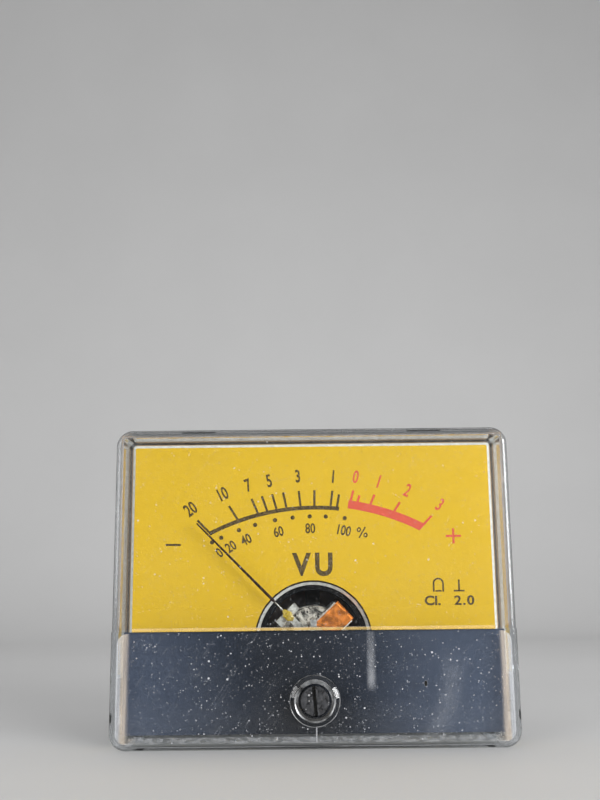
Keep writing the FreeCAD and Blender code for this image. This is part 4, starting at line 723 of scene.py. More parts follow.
def dust_and_reflection_film(finish, lower):
    """Dust, smears and scratches that lie on the cover's front, with painted reflections along its edges and above the
    seam; clear between them.
    """
    material, tree = surface("Dust and reflection below" if lower else "Dust and reflection above", Roughness=0.9, IOR=1.3)
    place = millimetres(tree)
    parts = add(tree, "SeparateXYZ", Vector=place).outputs
    flat = add(tree, "CombineXYZ", X=parts[0], Y=0.0, Z=parts[2]).outputs[0]
    across = maths(tree, "ABSOLUTE", parts[0])
    few = specks(tree, flat, 1.1, 0.24)
    many = specks(tree, centred(tree, flat, 7, 0, 3), 2.6, 0.36)
    fine = specks(tree, centred(tree, flat, 3, 0, 8), 3.9, 0.36)
    drift = uneven(tree, flat, 0.12, 0.4, 5.0)
    faint = uneven(tree, flat, 0.9, 0.5)
    few = times(tree, few, times_plus(tree, faint, 0.7, 0.3))
    patchy = times_plus(tree, drift, 0.5, 0.3)
    many = greater(tree, times(tree, many, faint), times(tree, fine, patchy))
    lines = hairlines(tree, centred(tree, flat, 0, 0, 0, angle=-0.6), 1.6, (1.0, 1.0, 0.02), 0.014)
    cover = greater(tree, times(tree, few, 0.75), times(tree, many, 0.6))
    upright = ramp(tree, across, 28.2, 28.5)
    level = greater(tree, ramp(tree, parts[2], -19.0, -19.2), ramp(tree, parts[2], 24.4, 24.6))
    # Rub marks and painted reflection: pale streaks along the front's side edges and a pale mottle along its top and
    # bottom edges.
    streaks = uneven(tree, centred(tree, flat, 0, 0, 0, (2.4, 1, 0.12)), 1.2, 0.4, 6.0)
    mottle = uneven(tree, centred(tree, flat, 0, 0, 0, (0.5, 1, 1.3)), 1.8, 0.4, 6.0)
    rubbed = times(tree, upright, times(tree, streaks, 0.36 if lower else 0.12))
    rubbed = greater(tree, rubbed, times(tree, level, times(tree, mottle, 0.14)))
    if lower:
        left = ramp(tree, parts[0], 6.0, -16.0, 0.02, 0.12)
        cover = greater(tree, cover, times(tree, lines, left))
        veil = times(tree, drift, 0.004)
        ragged = uneven(tree, flat, 0.7, 0.7, 6.0)
        drip = ramp(tree, apart(tree, parts[0], 8.3), 0.85, 0.1)
        drip = times(tree, drip, ramp(tree, parts[2], -13.2, -11.6))
        drip = times(tree, drip, ramp(tree, parts[2], -4.0, -12.0, 0.4, 1.0))
        drip = times(tree, drip, times_plus(tree, ragged, 0.1, 0.1))
        round_part = centred(tree, flat, 4.6, 0, -9.4)
        ring = distance(tree, round_part)
        smudge = ramp(tree, apart(tree, ring, 15.6), 2.6, 0.0)
        smudge = times(tree, smudge, ramp(tree, parts[0], 13.0, 19.0))
        smudge = times(tree, smudge, ramp(tree, parts[2], -6.0, -11.0))
        smudge = times(tree, smudge, times_plus(tree, ragged, 0.04, 0.015))
        weld = ramp(tree, apart(tree, parts[0], 0.2), 0.14, 0.02, 0.0, 0.3)
        weld = times(tree, weld, ramp(tree, parts[2], -17.2, -18.0))
        marks = greater(tree, greater(tree, drip, smudge), greater(tree, veil, weld))
        fleck_at = centred(tree, flat, 16.2, 0, -11.9, (2.6, 1, 1.3), 0.3)
        fleck = distance(tree, fleck_at)
        fleck = ramp(tree, times_plus(tree, ragged, 0.2, fleck), 0.75, 0.62)
        # Painted reflection: a warm pale band along both sides of the lower section stands for the side walls mirrored
        # there.
        painted_side_reflection = times(tree, ramp(tree, across, 27.0, 27.9), times_plus(tree, streaks, 0.2, 0.2))
        cover = greater(tree, greater(tree, cover, marks), greater(tree, fleck, painted_side_reflection))
        base = mixed(tree, ramp(tree, across, 25.5, 27.5), finish.dust, (0.66, 0.57, 0.47, 1))
        base = mixed(tree, upright, base, finish.dust)
        base = mixed(tree, fleck, base, (0.012, 0.012, 0.012, 1))
    else:
        cover = greater(tree, times(tree, cover, 0.4), times(tree, lines, 0.04))
        cover = greater(tree, cover, times(tree, drift, 0.006))
        # Painted reflection: a golden band just above the seam stands for the yellow dial mirrored in the seam's top
        # face.
        painted_seam_reflection = times(tree, ramp(tree, parts[2], -3.7, -3.85), ramp(tree, across, 27.1, 26.8))
        worn = uneven(tree, flat, 0.3, 0.6)
        worn_seam_reflection = times(tree, painted_seam_reflection, times_plus(tree, worn, 0.35, 0.2))
        cover = greater(tree, cover, worn_seam_reflection)
        base = mixed(tree, painted_seam_reflection, finish.dust, (0.74, 0.53, 0.20, 1))
    feed(tree, principled(tree), Base_Color=base, Alpha=greater(tree, cover, rubbed))
    return material


def studio_card(name, shade):
    """Pale matt sweep with a very faint unevenness; seen in reflections, it is near black in front of the meter as
    painted shade.
    """
    material, tree = surface(name, Roughness=0.75)
    place = millimetres(tree)
    patches = uneven(tree, place, 0.012, 0.6)
    base = mixed(tree, patches, shade, tone(shade, 0.96))
    # Painted shade: for reflections alone, the sweep in front of the meter turns near black.
    ahead = ramp(tree, add(tree, "SeparateXYZ", Vector=place).outputs[1], -25.0, -90.0)
    glossy = times(tree, add(tree, "LightPath").outputs["Is Glossy Ray"], ahead)
    feed(tree, principled(tree), Base_Color=mixed(tree, glossy, base, tone(shade, 0.08)))
    return material


# Short hands for pieces


def dress(material, *nodes):
    """Gives CAD nodes their finish."""
    for node in nodes:
        slots = NODES[node].data.materials
        slots.clear()
        slots.append(material)


def finished(name, bm, material, body, sharp=35.0, replaced=()):
    """Turns the modelled shape into a piece that rides on a body."""
    bmesh.ops.recalc_face_normals(bm, faces=bm.faces)
    mesh = bpy.data.meshes.new(name)
    bm.to_mesh(mesh)
    bm.free()
    mesh.materials.append(material)
    mesh.shade_smooth()
    mesh.set_sharp_from_angle(angle=math.radians(sharp))
    piece = bpy.data.objects.new(name, mesh)
    bpy.context.scene.collection.objects.link(piece)
    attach(piece, body)
    if replaced:
        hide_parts(*replaced)
    return piece


def thicken(bm, faces, depth):
    """Gives flat faces a thickness towards +Y."""
    made = bmesh.ops.extrude_face_region(bm, geom=faces)["geom"]
    moved = [item for item in made if isinstance(item, bmesh.types.BMVert)]
    bmesh.ops.translate(bm, verts=moved, vec=(0, depth, 0))


def sheet(left, right, bottom, top, depth, corner):
    """A flat upright sheet with round corners, as a new shape."""
    bm = bmesh.new()
    corners = [(left, bottom), (right, bottom), (right, top), (left, top)]
    bm.faces.new([bm.verts.new((x, depth, z)) for x, z in corners])
    bmesh.ops.bevel(
        bm, geom=bm.verts[:], offset=corner, affect="VERTICES", segments=6, profile=0.5, material=-1
    )
    return bm


def cut_hole(bm, z, depth, radius):
    """Cuts a round hole, at X = 0, out of a flat upright sheet."""
    ring = bmesh.ops.create_circle(bm, cap_ends=False, segments=64, radius=radius)["verts"]
    bmesh.ops.rotate(bm, verts=ring, cent=(0, 0, 0), matrix=UPRIGHT)
    bmesh.ops.translate(bm, verts=ring, vec=(0, depth, z))
    bmesh.ops.delete(bm, geom=bm.faces[:], context="FACES_ONLY")
    edges = bm.edges[:]
    bmesh.ops.triangle_fill(bm, edges=edges, use_beauty=True, use_dissolve=False, normal=(0, -1, 0))


def bar(bm, start, end, width, y, depth):
    """A flat straight stroke between two points on the dial (x, z)."""
    way = Vector(end) - Vector(start)
    side = Vector((-way.y, way.x)).normalized() * width / 2
    corners = [Vector(start) - side, Vector(start) + side, Vector(end) + side, Vector(end) - side]
    face = bm.faces.new([bm.verts.new((c.x, y, c.y)) for c in corners])
    thicken(bm, [face], depth)


def arc(bm, centre, inner, outer, start, end, y, depth):
    """A flat curved stroke; angles run clockwise from straight up."""
    first = Vector((math.sin(start), math.cos(start)))
    ends = [bm.verts.new((centre[0] + first.x * r, y, centre[1] + first.y * r)) for r in (inner, outer)]
    edge = bm.edges.new(ends)
    steps = max(6, int(abs(end - start) * 60))
    bmesh.ops.spin(
        bm, geom=ends + [edge], cent=(centre[0], y, centre[1]), axis=(0, 1, 0), angle=end - start, steps=steps
    )
    near = [f for f in bm.faces if all(abs(v.co.y - y) < 1e-9 for v in f.verts) and not f.tag]
    for face in near:
        face.tag = True
    thicken(bm, near, depth)
    for face in bm.faces:
        face.tag = True


def dot(bm, centre, radius, y, depth):
    made = bmesh.ops.create_circle(bm, cap_ends=True, segments=24, radius=radius)["verts"]
    bmesh.ops.rotate(bm, verts=made, cent=(0, 0, 0), matrix=UPRIGHT)
    bmesh.ops.translate(bm, verts=made, vec=(centre[0], y, centre[1]))
    thicken(bm, list({face for vert in made for face in vert.link_faces}), depth)


def lettering(bm, words, centre, height, y, depth, narrow=1.0, tilt=0.0, weight=0.0, width=None, gap=1.0):
    """Plain letters on the dial, made a mesh and then fitted to their height and place."""
    curve = bpy.data.curves.new("letters", "FONT")
    curve.body = words
    curve.resolution_u = 4
    curve.extrude = 0.5
    curve.offset = weight
    curve.space_character = gap
    carrier = bpy.data.objects.new("letters", curve)
    bpy.context.scene.collection.objects.link(carrier)
    bpy.context.view_layer.update()
    mesh = bpy.data.meshes.new_from_object(carrier.evaluated_get(bpy.context.evaluated_depsgraph_get()))
    bpy.data.objects.remove(carrier)
    bpy.data.curves.remove(curve)
    places = [v.co for v in mesh.vertices]
    low = Vector((min(p.x for p in places), min(p.y for p in places), 0))
    high = Vector((max(p.x for p in places), max(p.y for p in places), 0))
    tall = height / (high.y - low.y)
    wide = tall * narrow if width is None else width / (high.x - low.x)
    fit = (
        Matrix.Translation((centre[0], y + depth / 2, centre[1]))
        @ Matrix.Rotation(tilt, 4, "Y")
        @ Matrix.Rotation(math.pi / 2, 4, "X")
        @ Matrix.Diagonal((wide, tall, depth, 1))
        @ Matrix.Translation(-(low + high) / 2)
    )
    mesh.transform(fit)
    bm.from_mesh(mesh)
    bpy.data.meshes.remove(mesh)


def on_circle(sizes, angle, radius):
    """Where a ray from the pivot, at an angle from straight up, meets a circle about the arc centre."""
    ray = Vector((math.sin(angle), math.cos(angle)))
    start = Vector((0.0, PIVOT.z * MM))
    centre = Vector((sizes.arc_shift, PIVOT.z * MM - sizes.arc_drop))
    back = start - centre
    along = -back.dot(ray) + math.sqrt(back.dot(ray) ** 2 - back.length_squared + radius**2)
    return start + ray * along


def print_place(sizes):
    """Depth at which the print's front lies, and how thick it is."""
    return DIAL_FRONT * MM - sizes.ink_depth, sizes.ink_depth + 0.005 * MM


def arc_centre(sizes):
    """Middle of the scale's arcs on the dial (x, z)."""
    return (sizes.arc_shift, PIVOT.z * MM - sizes.arc_drop)


def seen_from(centre, spot):
    """A spot's angle from straight up, seen from a centre (x, z)."""
    return math.atan2(spot.x - centre[0], spot.y - centre[1])


def about_arc(sizes, angle, radius):
    """Angle about the arc centre where a ray from the pivot, at an angle in degrees, meets a circle."""
    return seen_from(arc_centre(sizes), on_circle(sizes, math.radians(angle), radius))


def tick(bm, sizes, angle, inner, outer):
    """A tick along a ray from the pivot, between two circles of the scale."""
    y, depth = print_place(sizes)
    start, end = (on_circle(sizes, math.radians(angle), radius) for radius in (inner, outer))
    bar(bm, start, end, sizes.tick_width, y - 0.001 * MM, depth)


def numeral(bm, sizes, words, place, height, narrow, weight):
    """A number of the scale, turned halfway between the pivot's ray and the arc centre's."""
    y, depth = print_place(sizes)
    spot = Vector(place) * MM
    tilt = (seen_from((0, PIVOT.z * MM), spot) + seen_from(arc_centre(sizes), spot)) / 2
    lettering(bm, words, spot, height, y, depth, narrow, tilt, weight)


def spun(bm, profile, x, z, segments=48):
    """A closed turned shape about an axis along Y, from (radius, y) points in millimetres."""
    verts = [bm.verts.new((x * MM + r * MM, y * MM, z * MM)) for r, y in profile]
    edges = [bm.edges.new(pair) for pair in zip(verts, verts[1:])]
    bmesh.ops.spin(
        bm,
        geom=verts + edges,
        cent=(x * MM, 0, z * MM),
        axis=(0, 1, 0),
        angle=2 * math.pi,
        steps=segments,
        use_merge=True,
    )
    bmesh.ops.remove_doubles(bm, verts=bm.verts, dist=1e-7)


def squeeze(vert, most):
    """Draws a point in, so that it lies no further than this from the Y axis."""
    across = Vector((vert.co.x, vert.co.z)).length
    if across > most:
        vert.co.x *= most / across
        vert.co.z *= most / across


def pour(made, bm):
    """Adds a closed shape to another and frees it."""
    bmesh.ops.recalc_face_normals(made, faces=made.faces)
    holder = bpy.data.meshes.new("holder")
    made.to_mesh(holder)
    made.free()
    bm.from_mesh(holder)
    bpy.data.meshes.remove(holder)


def thread(bm, x, z, low, high, radius, hardware, tip=True):
    """A screw thread with flat capped ends, along Y between two depths in millimetres."""
    made = bmesh.new()
    pitch = hardware.pitch
    root = radius * MM - hardware.thread_depth
    start = low * MM - 1.5 * pitch
    count = int((high - low) * MM / pitch) + 3
    points = [(root, 0.0), (root, 0.14), (radius * MM, 0.46), (radius * MM, 0.6), (root, 0.92), (root, 1.0)]
    verts = [made.verts.new((r, start + share * pitch, 0)) for r, share in points]
    edges = [made.edges.new(pair) for pair in zip(verts, verts[1:])]
    steps = 24
    bmesh.ops.spin(
        made,
        geom=verts + edges,
        cent=(0, 0, 0),
        axis=(0, 1, 0),
        dvec=(0, pitch / steps, 0),
        angle=2 * math.pi * count,
        steps=steps * count,
    )
    bmesh.ops.remove_doubles(made, verts=made.verts, dist=2e-6)
    for depth, way in ((low * MM, -1), (high * MM, 1)):
        geometry = made.verts[:] + made.edges[:] + made.faces[:]
        bmesh.ops.bisect_plane(
            made, geom=geometry, dist=1e-8, plane_co=(0, depth, 0), plane_no=(0, way, 0), clear_outer=True
        )
        open_edges = [e for e in made.edges if e.is_boundary and abs(e.verts[0].co.y - depth) < 1e-7]
        bmesh.ops.contextual_create(made, geom=open_edges)
    if tip:
        edge = root * 0.86
        for vert in made.verts:
            squeeze(vert, edge + max(0.0, high * MM - vert.co.y) * (radius * MM - edge) / hardware.tip_round)
    bmesh.ops.translate(made, verts=made.verts, vec=(x * MM, 0, z * MM))
    pour(made, bm)


def hex_nut(bm, x, z, low, high, across_flats, bore, hardware):
    """A hexagon nut with bevelled corners and a countersunk bore."""
    made = bmesh.new()
    corner = across_flats / 2 / math.cos(math.pi / 6)
    bmesh.ops.create_circle(made, cap_ends=False, segments=6, radius=corner)
    bmesh.ops.subdivide_edges(made, edges=made.edges, cuts=7)
    bmesh.ops.rotate(made, verts=made.verts, cent=(0, 0, 0), matrix=UPRIGHT)
    bmesh.ops.translate(made, verts=made.verts, vec=(0, low, 0))
    drop = hardware.nut_bevel
    edges = made.edges[:]
    for rise in (drop, high - low - 2 * drop, drop):
        new = bmesh.ops.extrude_edge_only(made, edges=edges)["geom"]
        verts = [item for item in new if isinstance(item, bmesh.types.BMVert)]
        edges = [item for item in new if isinstance(item, bmesh.types.BMEdge)]
        bmesh.ops.translate(made, verts=verts, vec=(0, rise, 0))
    for vert in made.verts:
        if abs(vert.co.y - low) < 1e-8 or abs(vert.co.y - high) < 1e-8:
            squeeze(vert, across_flats / 2 * 0.97)
    inner = []
    for radius, depth in ((bore * 1.08, low), (bore, low + drop), (bore, high - drop), (bore * 1.08, high)):
        loop = bmesh.ops.create_circle(made, cap_ends=False, segments=48, radius=radius)["verts"]
        bmesh.ops.rotate(made, verts=loop, cent=(0, 0, 0), matrix=UPRIGHT)
        bmesh.ops.translate(made, verts=loop, vec=(0, depth, 0))
        inner.append(list({edge for vert in loop for edge in vert.link_edges}))
    outer = [
        [e for e in made.edges if e.is_boundary and abs(e.verts[0].co.y - depth) < 1e-8 and not e.is_wire]
        for depth in (low, high)
    ]
    loops = [outer[0], *inner, outer[1]]
    for near, far in zip(loops, loops[1:]):
        bmesh.ops.bridge_loops(made, edges=near + far)
    bmesh.ops.translate(made, verts=made.verts, vec=(x, 0, z))
    pour(made, bm)


# Operators


class METER_OT_cover(bpy.types.Operator):
    """Finish the clear cover and lay dust, smears and painted reflections on its front"""

    bl_idname = "meter.cover"
    bl_label = "Clear cover"

    def execute(self, context):
        finish = context.scene.meter_finish
        dress(clear_cover(finish), "front_cover")
        low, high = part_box("front_cover")
        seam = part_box("lower_mask")[1].z
        screw = [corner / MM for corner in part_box("zero_screw")]
        middle = (screw[0].z + screw[1].z) / 2
        edge, corner, seat = 1.0 * MM, 1.5 * MM, 3.7 * MM
        left, right = low.x + edge, high.x - edge
        film, film_gap = 0.01 * MM, 0.012 * MM
        lower_front = low.y + 0.3 * MM - film_gap
        below = sheet(left, right, low.z + edge, seam - 0.15 * MM, lower_front, corner)
        cut_hole(below, middle * MM, lower_front, seat)
        window_front = low.y + 0.9 * MM - film_gap
        above = sheet(left, right, seam + 0.12 * MM, high.z - edge, window_front, corner)
        for name, bm in (("dust_and_reflection_below", below), ("dust_and_reflection_above", above)):
            thicken(bm, bm.faces[:], film)
            finished(name, bm, dust_and_reflection_film(finish, name == "dust_and_reflection_below"), "case")
        boss = low.y / MM
        bm = bmesh.new()
        profile = [
            (2.42, boss + 0.02),
            (2.46, boss - 0.04),
            (2.58, boss - 0.02),
            (2.74, boss + 0.01),
            (2.84, boss - 0.04),
            (2.91, boss - 0.11),
            (2.98, boss - 0.12),
            (3.04, boss - 0.06),
            (3.07, boss + 0.03),
            (3.07, boss + 0.1),
            (2.42, boss + 0.1),
            (2.42, boss + 0.02),
        ]
        foot = [
            (3.56, boss + 0.3),
            (3.58, boss + 0.24),
            (3.63, boss + 0.21),
            (3.68, boss + 0.24),
            (3.7, boss + 0.3),
            (3.56, boss + 0.3),
        ]
        for ring in (profile, foot):
            spun(bm, ring, (screw[0].x + screw[1].x) / 2, middle, 96)
        finished("seat_ring", bm, polished_seat(finish), "case", 50.0)
        return {"FINISHED"}


class METER_OT_case(bpy.types.Operator):
    """Finish the mask, the rear plate, the barrel and the screws"""

    bl_idname = "meter.case"
    bl_label = "Mask, housing and screws"

    def execute(self, context):
        finish = context.scene.meter_finish
        dress(mask_paint(finish), "lower_mask")
        housing = moulded("Black housing", finish.housing, 0.34)
        dress(housing, "base_plate", "rear_barrel")
        steel = plated("Plated steel", finish.steel, 0.3)
        dress(
            steel,
            "cover_screws",
            "dial_screws",
            "frame_screws",
            "bridge_screws",
            "clamp_screws",
            "rear_bridge_screws",
            "zero_screw_clip",
        )
        tin = plated("Tinned brass", finish.tin, 0.34, tarnish=0.5)
        dress(tin, "terminal_washers", "solder_lugs")
        dress(adjuster_plastic(finish), "zero_screw")
        return {"FINISHED"}


class METER_OT_movement(bpy.types.Operator):
    """Finish the frame, magnet, coil, bearings, springs and pointer"""

    bl_idname = "meter.movement"
    bl_label = "Movement"

    def execute(self, context):
        finish = context.scene.meter_finish
        lacquer = moulded("Black lacquer", finish.dark_frame, 0.6, 6.0, 0.1, 0.15)
        dress(lacquer, "movement_frame", "yoke_ring")
        dress(cast_magnet(finish), "core_magnet")
        foil = plated("Former foil", tone(finish.aluminium, 1.3), 0.34, tarnish=0.2, metallic=0.3)
        dress(foil, "coil_former")
        turned = math.radians(47)
        dress(wound_copper(finish, (math.cos(turned), 0, math.sin(turned))), "coil_winding")
        brass = plated("Brass", finish.brass, 0.28, tarnish=0.5)
        dress(brass, "rear_spring_tag", "front_bridge", "rear_bridge")
        dress(plated("Tinned lever", finish.tin, 0.3), "zero_lever")
        dress(lacquer, "core_clamp")
        bearing = turned_metal("Turned brass", finish.brass, 0.0, PIVOT.z)
        dress(bearing, "front_jewel_screw", "rear_jewel_screw")
        dress(plated("Weight wire", finish.tin, 0.3), "balance_weight")
        staff = turned_metal("Staff steel", finish.steel, 0.0, PIVOT.z, 0.16)
        dress(staff, "front_staff", "rear_staff")
        stone = moulded("Bearing stone", finish.jewel, 0.12, 3.0, 0.1)
        dress(stone, "front_jewel", "rear_jewel")
        white = moulded("White plastic", finish.white_plastic, 0.36, 7.0, 0.4)
        dress(white, "rear_bridge_pillars")
        dress(plastic_with_dirt_and_shade(finish), "pointer_carrier")
        bronze = plated("Spring bronze", finish.bronze, 0.25, tarnish=0.4)
        dress(bronze, "front_hairspring", "rear_hairspring")
        return {"FINISHED"}


class METER_OT_pointer(bpy.types.Operator):
    """Shape the slim pointer blade with its folded ridge"""

    bl_idname = "meter.pointer"
    bl_label = "Pointer"

    def execute(self, context):
        sizes = context.scene.meter_hardware
        low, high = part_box("pointer")
        reach = max(-low.x, high.z - PIVOT.z * MM) * math.sqrt(2) - 0.2 * MM
        root = 4.35 * MM
        bm = bmesh.new()
        bmesh.ops.create_grid(bm, x_segments=2, y_segments=48, size=0.5)
        bmesh.ops.rotate(bm, verts=bm.verts, cent=(0, 0, 0), matrix=UPRIGHT)
        for vert in bm.verts:
            share = vert.co.z + 0.5
            along = root + share * (reach - root)
            width = sizes.pointer_root * (1 - share) + sizes.pointer_tip * share
            if along < sizes.pointer_shoulder:
                width = sizes.pointer_wire
            ridge = 0.06 * MM if abs(vert.co.x) < 1e-6 else 0.0
            vert.co = Vector((vert.co.x * width, -ridge, along))
        thicken(bm, bm.faces[:], 0.16 * MM)
        edges = [e for e in bm.edges if e.calc_face_angle(0) > 1.0]
        bmesh.ops.bevel(
            bm, geom=edges, offset=0.03 * MM, affect="EDGES", segments=2, profile=0.5, material=-1
        )
        bmesh.ops.rotate(bm, verts=bm.verts, cent=(0, 0, 0), matrix=REST_LEAN)
        bmesh.ops.translate(bm, verts=bm.verts, vec=(0, low.y + 0.1 * MM, PIVOT.z * MM))
        paint = pointer_paint(context.scene.meter_finish)
        finished("pointer_blade", bm, paint, "moving_coil", 35.0, ("pointer",))
        return {"FINISHED"}


class METER_OT_circuit(bpy.types.Operator):
    """Finish the rectifier board, its parts and the wires"""

    bl_idname = "meter.circuit"
    bl_label = "Rectifier board"

    def execute(self, context):
        finish = context.scene.meter_finish
        dress(laminate(finish), "rectifier_board")
        back = node_end("rectifier_diodes", 1, True)
        mark = (0.55, 0.55, 0.55, 1)
        glass = banded("Diode glass", (0.02, 0.018, 0.016, 1), [(back - 1.0, back - 0.5, mark)], 1)
        dress(glass, "rectifier_diodes")
        start = node_end("series_resistor", 0, False)
        paints = [(0.22, 0.05, 0.02, 1), (0.01, 0.01, 0.01, 1), (0.65, 0.08, 0.03, 1), (0.55, 0.36, 0.08, 1)]
        bands = [(start + 1.2 + k * 1.1, start + 1.7 + k * 1.1, paint) for k, paint in enumerate(paints)]
        dress(banded("Resistor lacquer", (0.50, 0.36, 0.20, 1), bands), "series_resistor")
        dress(moulded("Wire cover", (0.36, 0.035, 0.03, 1), 0.4, 5.0, 0.4), "lead_wires")
        return {"FINISHED"}


class METER_OT_dial(bpy.types.Operator):
    """Finish the dial plate"""

    bl_idname = "meter.dial"
    bl_label = "Dial plate"

    def execute(self, context):
        dress(dial_enamel(context.scene.meter_finish), "dial_plate")
        return {"FINISHED"}


class METER_OT_scale(bpy.types.Operator):
    """Print the black part of the scale, the percent row and the signs"""

    bl_idname = "meter.scale"
    bl_label = "Black print"

    def execute(self, context):
        sizes = context.scene.meter_print
        y, depth = print_place(sizes)
        bm = bmesh.new()
        first, last = about_arc(sizes, -44.5, sizes.arc_inner), about_arc(sizes, 11.5, sizes.arc_inner)
        arc(bm, arc_centre(sizes), sizes.arc_inner, sizes.arc_outer, first, last, y, depth)
        for angle in (-44.5, -32.6, -24.0, -20.0, -16.0, -11.7, -5.55, 0.55, 7.6, 10.4):
            reach = sizes.half_reach if angle == 10.4 else sizes.tick_reach
            tick(bm, sizes, angle, sizes.arc_inner, reach)
        for angle in (-46.5, -42.5, -34.6, -27.3, -18.1, -9.8, -1.7, 5.9, 14.8):
            dot(bm, on_circle(sizes, math.radians(angle), sizes.dot_ring), sizes.dot_radius, y, depth)
        for words, x, z in (
            ("20", -19.53, 14.42),
            ("10", -14.37, 16.79),
            ("7", -10.36, 18.10),
            ("5", -7.02, 18.79),
            ("3", -2.42, 19.48),
            ("1", 3.26, 19.36),
        ):
            numeral(bm, sizes, words, (x, z), sizes.numeral_height, sizes.numeral_width, 0.022)
        for words, x, z in (
            ("0", -14.87, 7.52),
            ("20", -13.08, 8.45),
            ("40", -10.68, 9.51),
            ("60", -5.54, 10.71),
            ("80", -0.51, 11.18),
            ("100", 4.87, 10.80),
        ):
            numeral(bm, sizes, words, (x, z), sizes.label_height, sizes.label_width, 0.022)
        slash = Vector((7.7, 10.45)) * MM
        lean = Vector((0.5, 0.85)) * MM
        bar(bm, slash - lean, slash + lean, 0.22 * MM, y, depth)
        for side in (-1, 1):
            spot = slash + Vector((side * 0.52, -side * 0.42)) * MM
            lettering(bm, "o", spot, 0.8 * MM, y, depth, 0.8, 0.2, 0.04)
        lettering(bm, "V", (-1.95 * MM, 5.55 * MM), 3.6 * MM, y, depth, weight=0.034, width=3.0 * MM)
        lettering(bm, "U", (1.56 * MM, 5.53 * MM), 3.66 * MM, y, depth, weight=0.034, width=2.75 * MM)
        bar(bm, (-23.35 * MM, 8.8 * MM), (-20.99 * MM, 8.77 * MM), 0.34 * MM, y, depth)
        line = 0.26 * MM
        arch = (19.43 * MM, 2.41 * MM)
        arc(bm, arch, 0.61 * MM, 0.61 * MM + line, -math.pi / 2, math.pi / 2, y, depth)
        for side in (-1, 1):
            x = arch[0] + side * (0.61 * MM + line / 2)
            bar(bm, (x, arch[1]), (x, 1.13 * MM), line, y, depth)
        bar(bm, (arch[0] - 0.48 * MM, 1.26 * MM), (arch[0] + 0.48 * MM, 1.26 * MM), line, y, depth)
        bar(bm, (22.66 * MM, 2.97 * MM), (22.66 * MM, 1.13 * MM), line, y, depth)
        bar(bm, (21.82 * MM, 1.26 * MM), (23.51 * MM, 1.26 * MM), line, y, depth)
        lettering(bm, "Cl.", (18.45 * MM, -0.2 * MM), 1.5 * MM, y, depth, 1.15, weight=0.034)
        lettering(bm, "2.0", (23.4 * MM, -0.2 * MM), 1.5 * MM, y, depth, 1.15, weight=0.026, gap=1.16)
        bmesh.ops.translate(bm, verts=bm.verts, vec=(sizes.shift, 0, 0))
        ink = print_ink("Dark ink", context.scene.meter_finish.ink, 0.3)
        finished("scale_print", bm, ink, "case", 20.0)
        return {"FINISHED"}


class METER_OT_red_scale(bpy.types.Operator):
    """Print the red part of the scale"""

    bl_idname = "meter.red_scale"
    bl_label = "Red print"

    def execute(self, context):
        sizes = context.scene.meter_print
        y, depth = print_place(sizes)
        bm = bmesh.new()
        first, last = about_arc(sizes, 15.0, sizes.arc_outer), about_arc(sizes, 45.0, sizes.arc_outer)
        arc(bm, arc_centre(sizes), sizes.arc_outer - 0.1 * MM, sizes.band_outer, first, last, y, depth)
        for angle, inner, outer in (
            (15.5, sizes.arc_outer, sizes.red_reach),
            (18.3, sizes.band_outer, sizes.half_reach + 0.3 * MM),
            (23.5, sizes.band_outer, sizes.red_reach),
            (33.0, sizes.band_outer, sizes.red_reach),
            (44.6, sizes.arc_outer, sizes.red_reach),
        ):
            tick(bm, sizes, angle, inner, outer)
        for words, x, z in (
            ("0", 6.87, 19.27),
            ("1", 10.55, 18.47),
            ("2", 15.09, 17.05),
            ("3", 20.15, 14.70),
        ):
            numeral(bm, sizes, words, (x, z), sizes.numeral_height, sizes.numeral_width, 0.016)
        plus = Vector((22.09, 9.75)) * MM
        for way in (Vector((1.19, 0)) * MM, Vector((0, 1.19)) * MM):
            bar(bm, plus - way, plus + way, 0.34 * MM, y - (0.001 * MM if way.x else 0), depth)
        bmesh.ops.translate(bm, verts=bm.verts, vec=(sizes.shift, 0, 0))
        ink = print_ink("Red ink", context.scene.meter_finish.red_ink, 0.08)
        finished("red_print", bm, ink, "case", 20.0)
        return {"FINISHED"}


class METER_OT_glue(bpy.types.Operator):
    """Set the blob of glue that holds the pointer to its carrier"""

    bl_idname = "meter.glue"
    bl_label = "Glue blob"

    def execute(self, context):
        bm = bmesh.new()
        bmesh.ops.create_icosphere(bm, subdivisions=4, radius=1.0)
        for vert in bm.verts:
            lump = 0.12 * math.sin(3.1 * vert.co.x + 1.7) * math.cos(4.3 * vert.co.y)
            vert.co *= 1 + lump + 0.08 * math.sin(7 * vert.co.z + 2 * vert.co.x)
        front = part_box("pointer")[0].y
        bmesh.ops.scale(bm, verts=bm.verts, vec=(0.74 * MM, 0.5 * MM, 0.98 * MM))
        bmesh.ops.rotate(bm, verts=bm.verts, cent=(0, 0, 0), matrix=REST_LEAN)
        reach = 5.5 * MM
        across, rise = reach * math.sin(math.pi / 4), reach * math.cos(math.pi / 4)
        spot = Vector((-across, front + 0.1 * MM, PIVOT.z * MM + rise))
        bmesh.ops.translate(bm, verts=bm.verts, vec=spot)
        finished("glue_blob", bm, dried_glue(context.scene.meter_finish), "moving_coil", 80.0)
        return {"FINISHED"}


class METER_OT_threads(bpy.types.Operator):
    """Cut the threads of the mounting studs"""

    bl_idname = "meter.threads"
    bl_label = "Studs and terminals"

    def execute(self, context):
        finish, hardware = context.scene.meter_finish, context.scene.meter_hardware
        low, high = (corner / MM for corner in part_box("mounting_studs"))
        bm = bmesh.new()
        head = 2.7
        for x in (low.x + head, high.x - head):
            for z in (low.z + head, high.z - head):
                front = low.y
                profile = [(0, front), (head - 0.15, front), (head, front + 0.15), (head, front + 0.8)]
                profile += [(1.7, front + 0.8), (1.7, 0.0), (1.24, 0.0), (1.24, 0.2), (0, 0.2)]
                spun(bm, profile, x, z)
                thread(bm, x, z, 0.05, high.y, 1.5, hardware)
        steel = plated("Stud steel", finish.steel, 0.28, (1, 3, 1), 0.45)
        finished("threaded_studs", bm, steel, "case", 30.0, ("mounting_studs",))
        return {"FINISHED"}


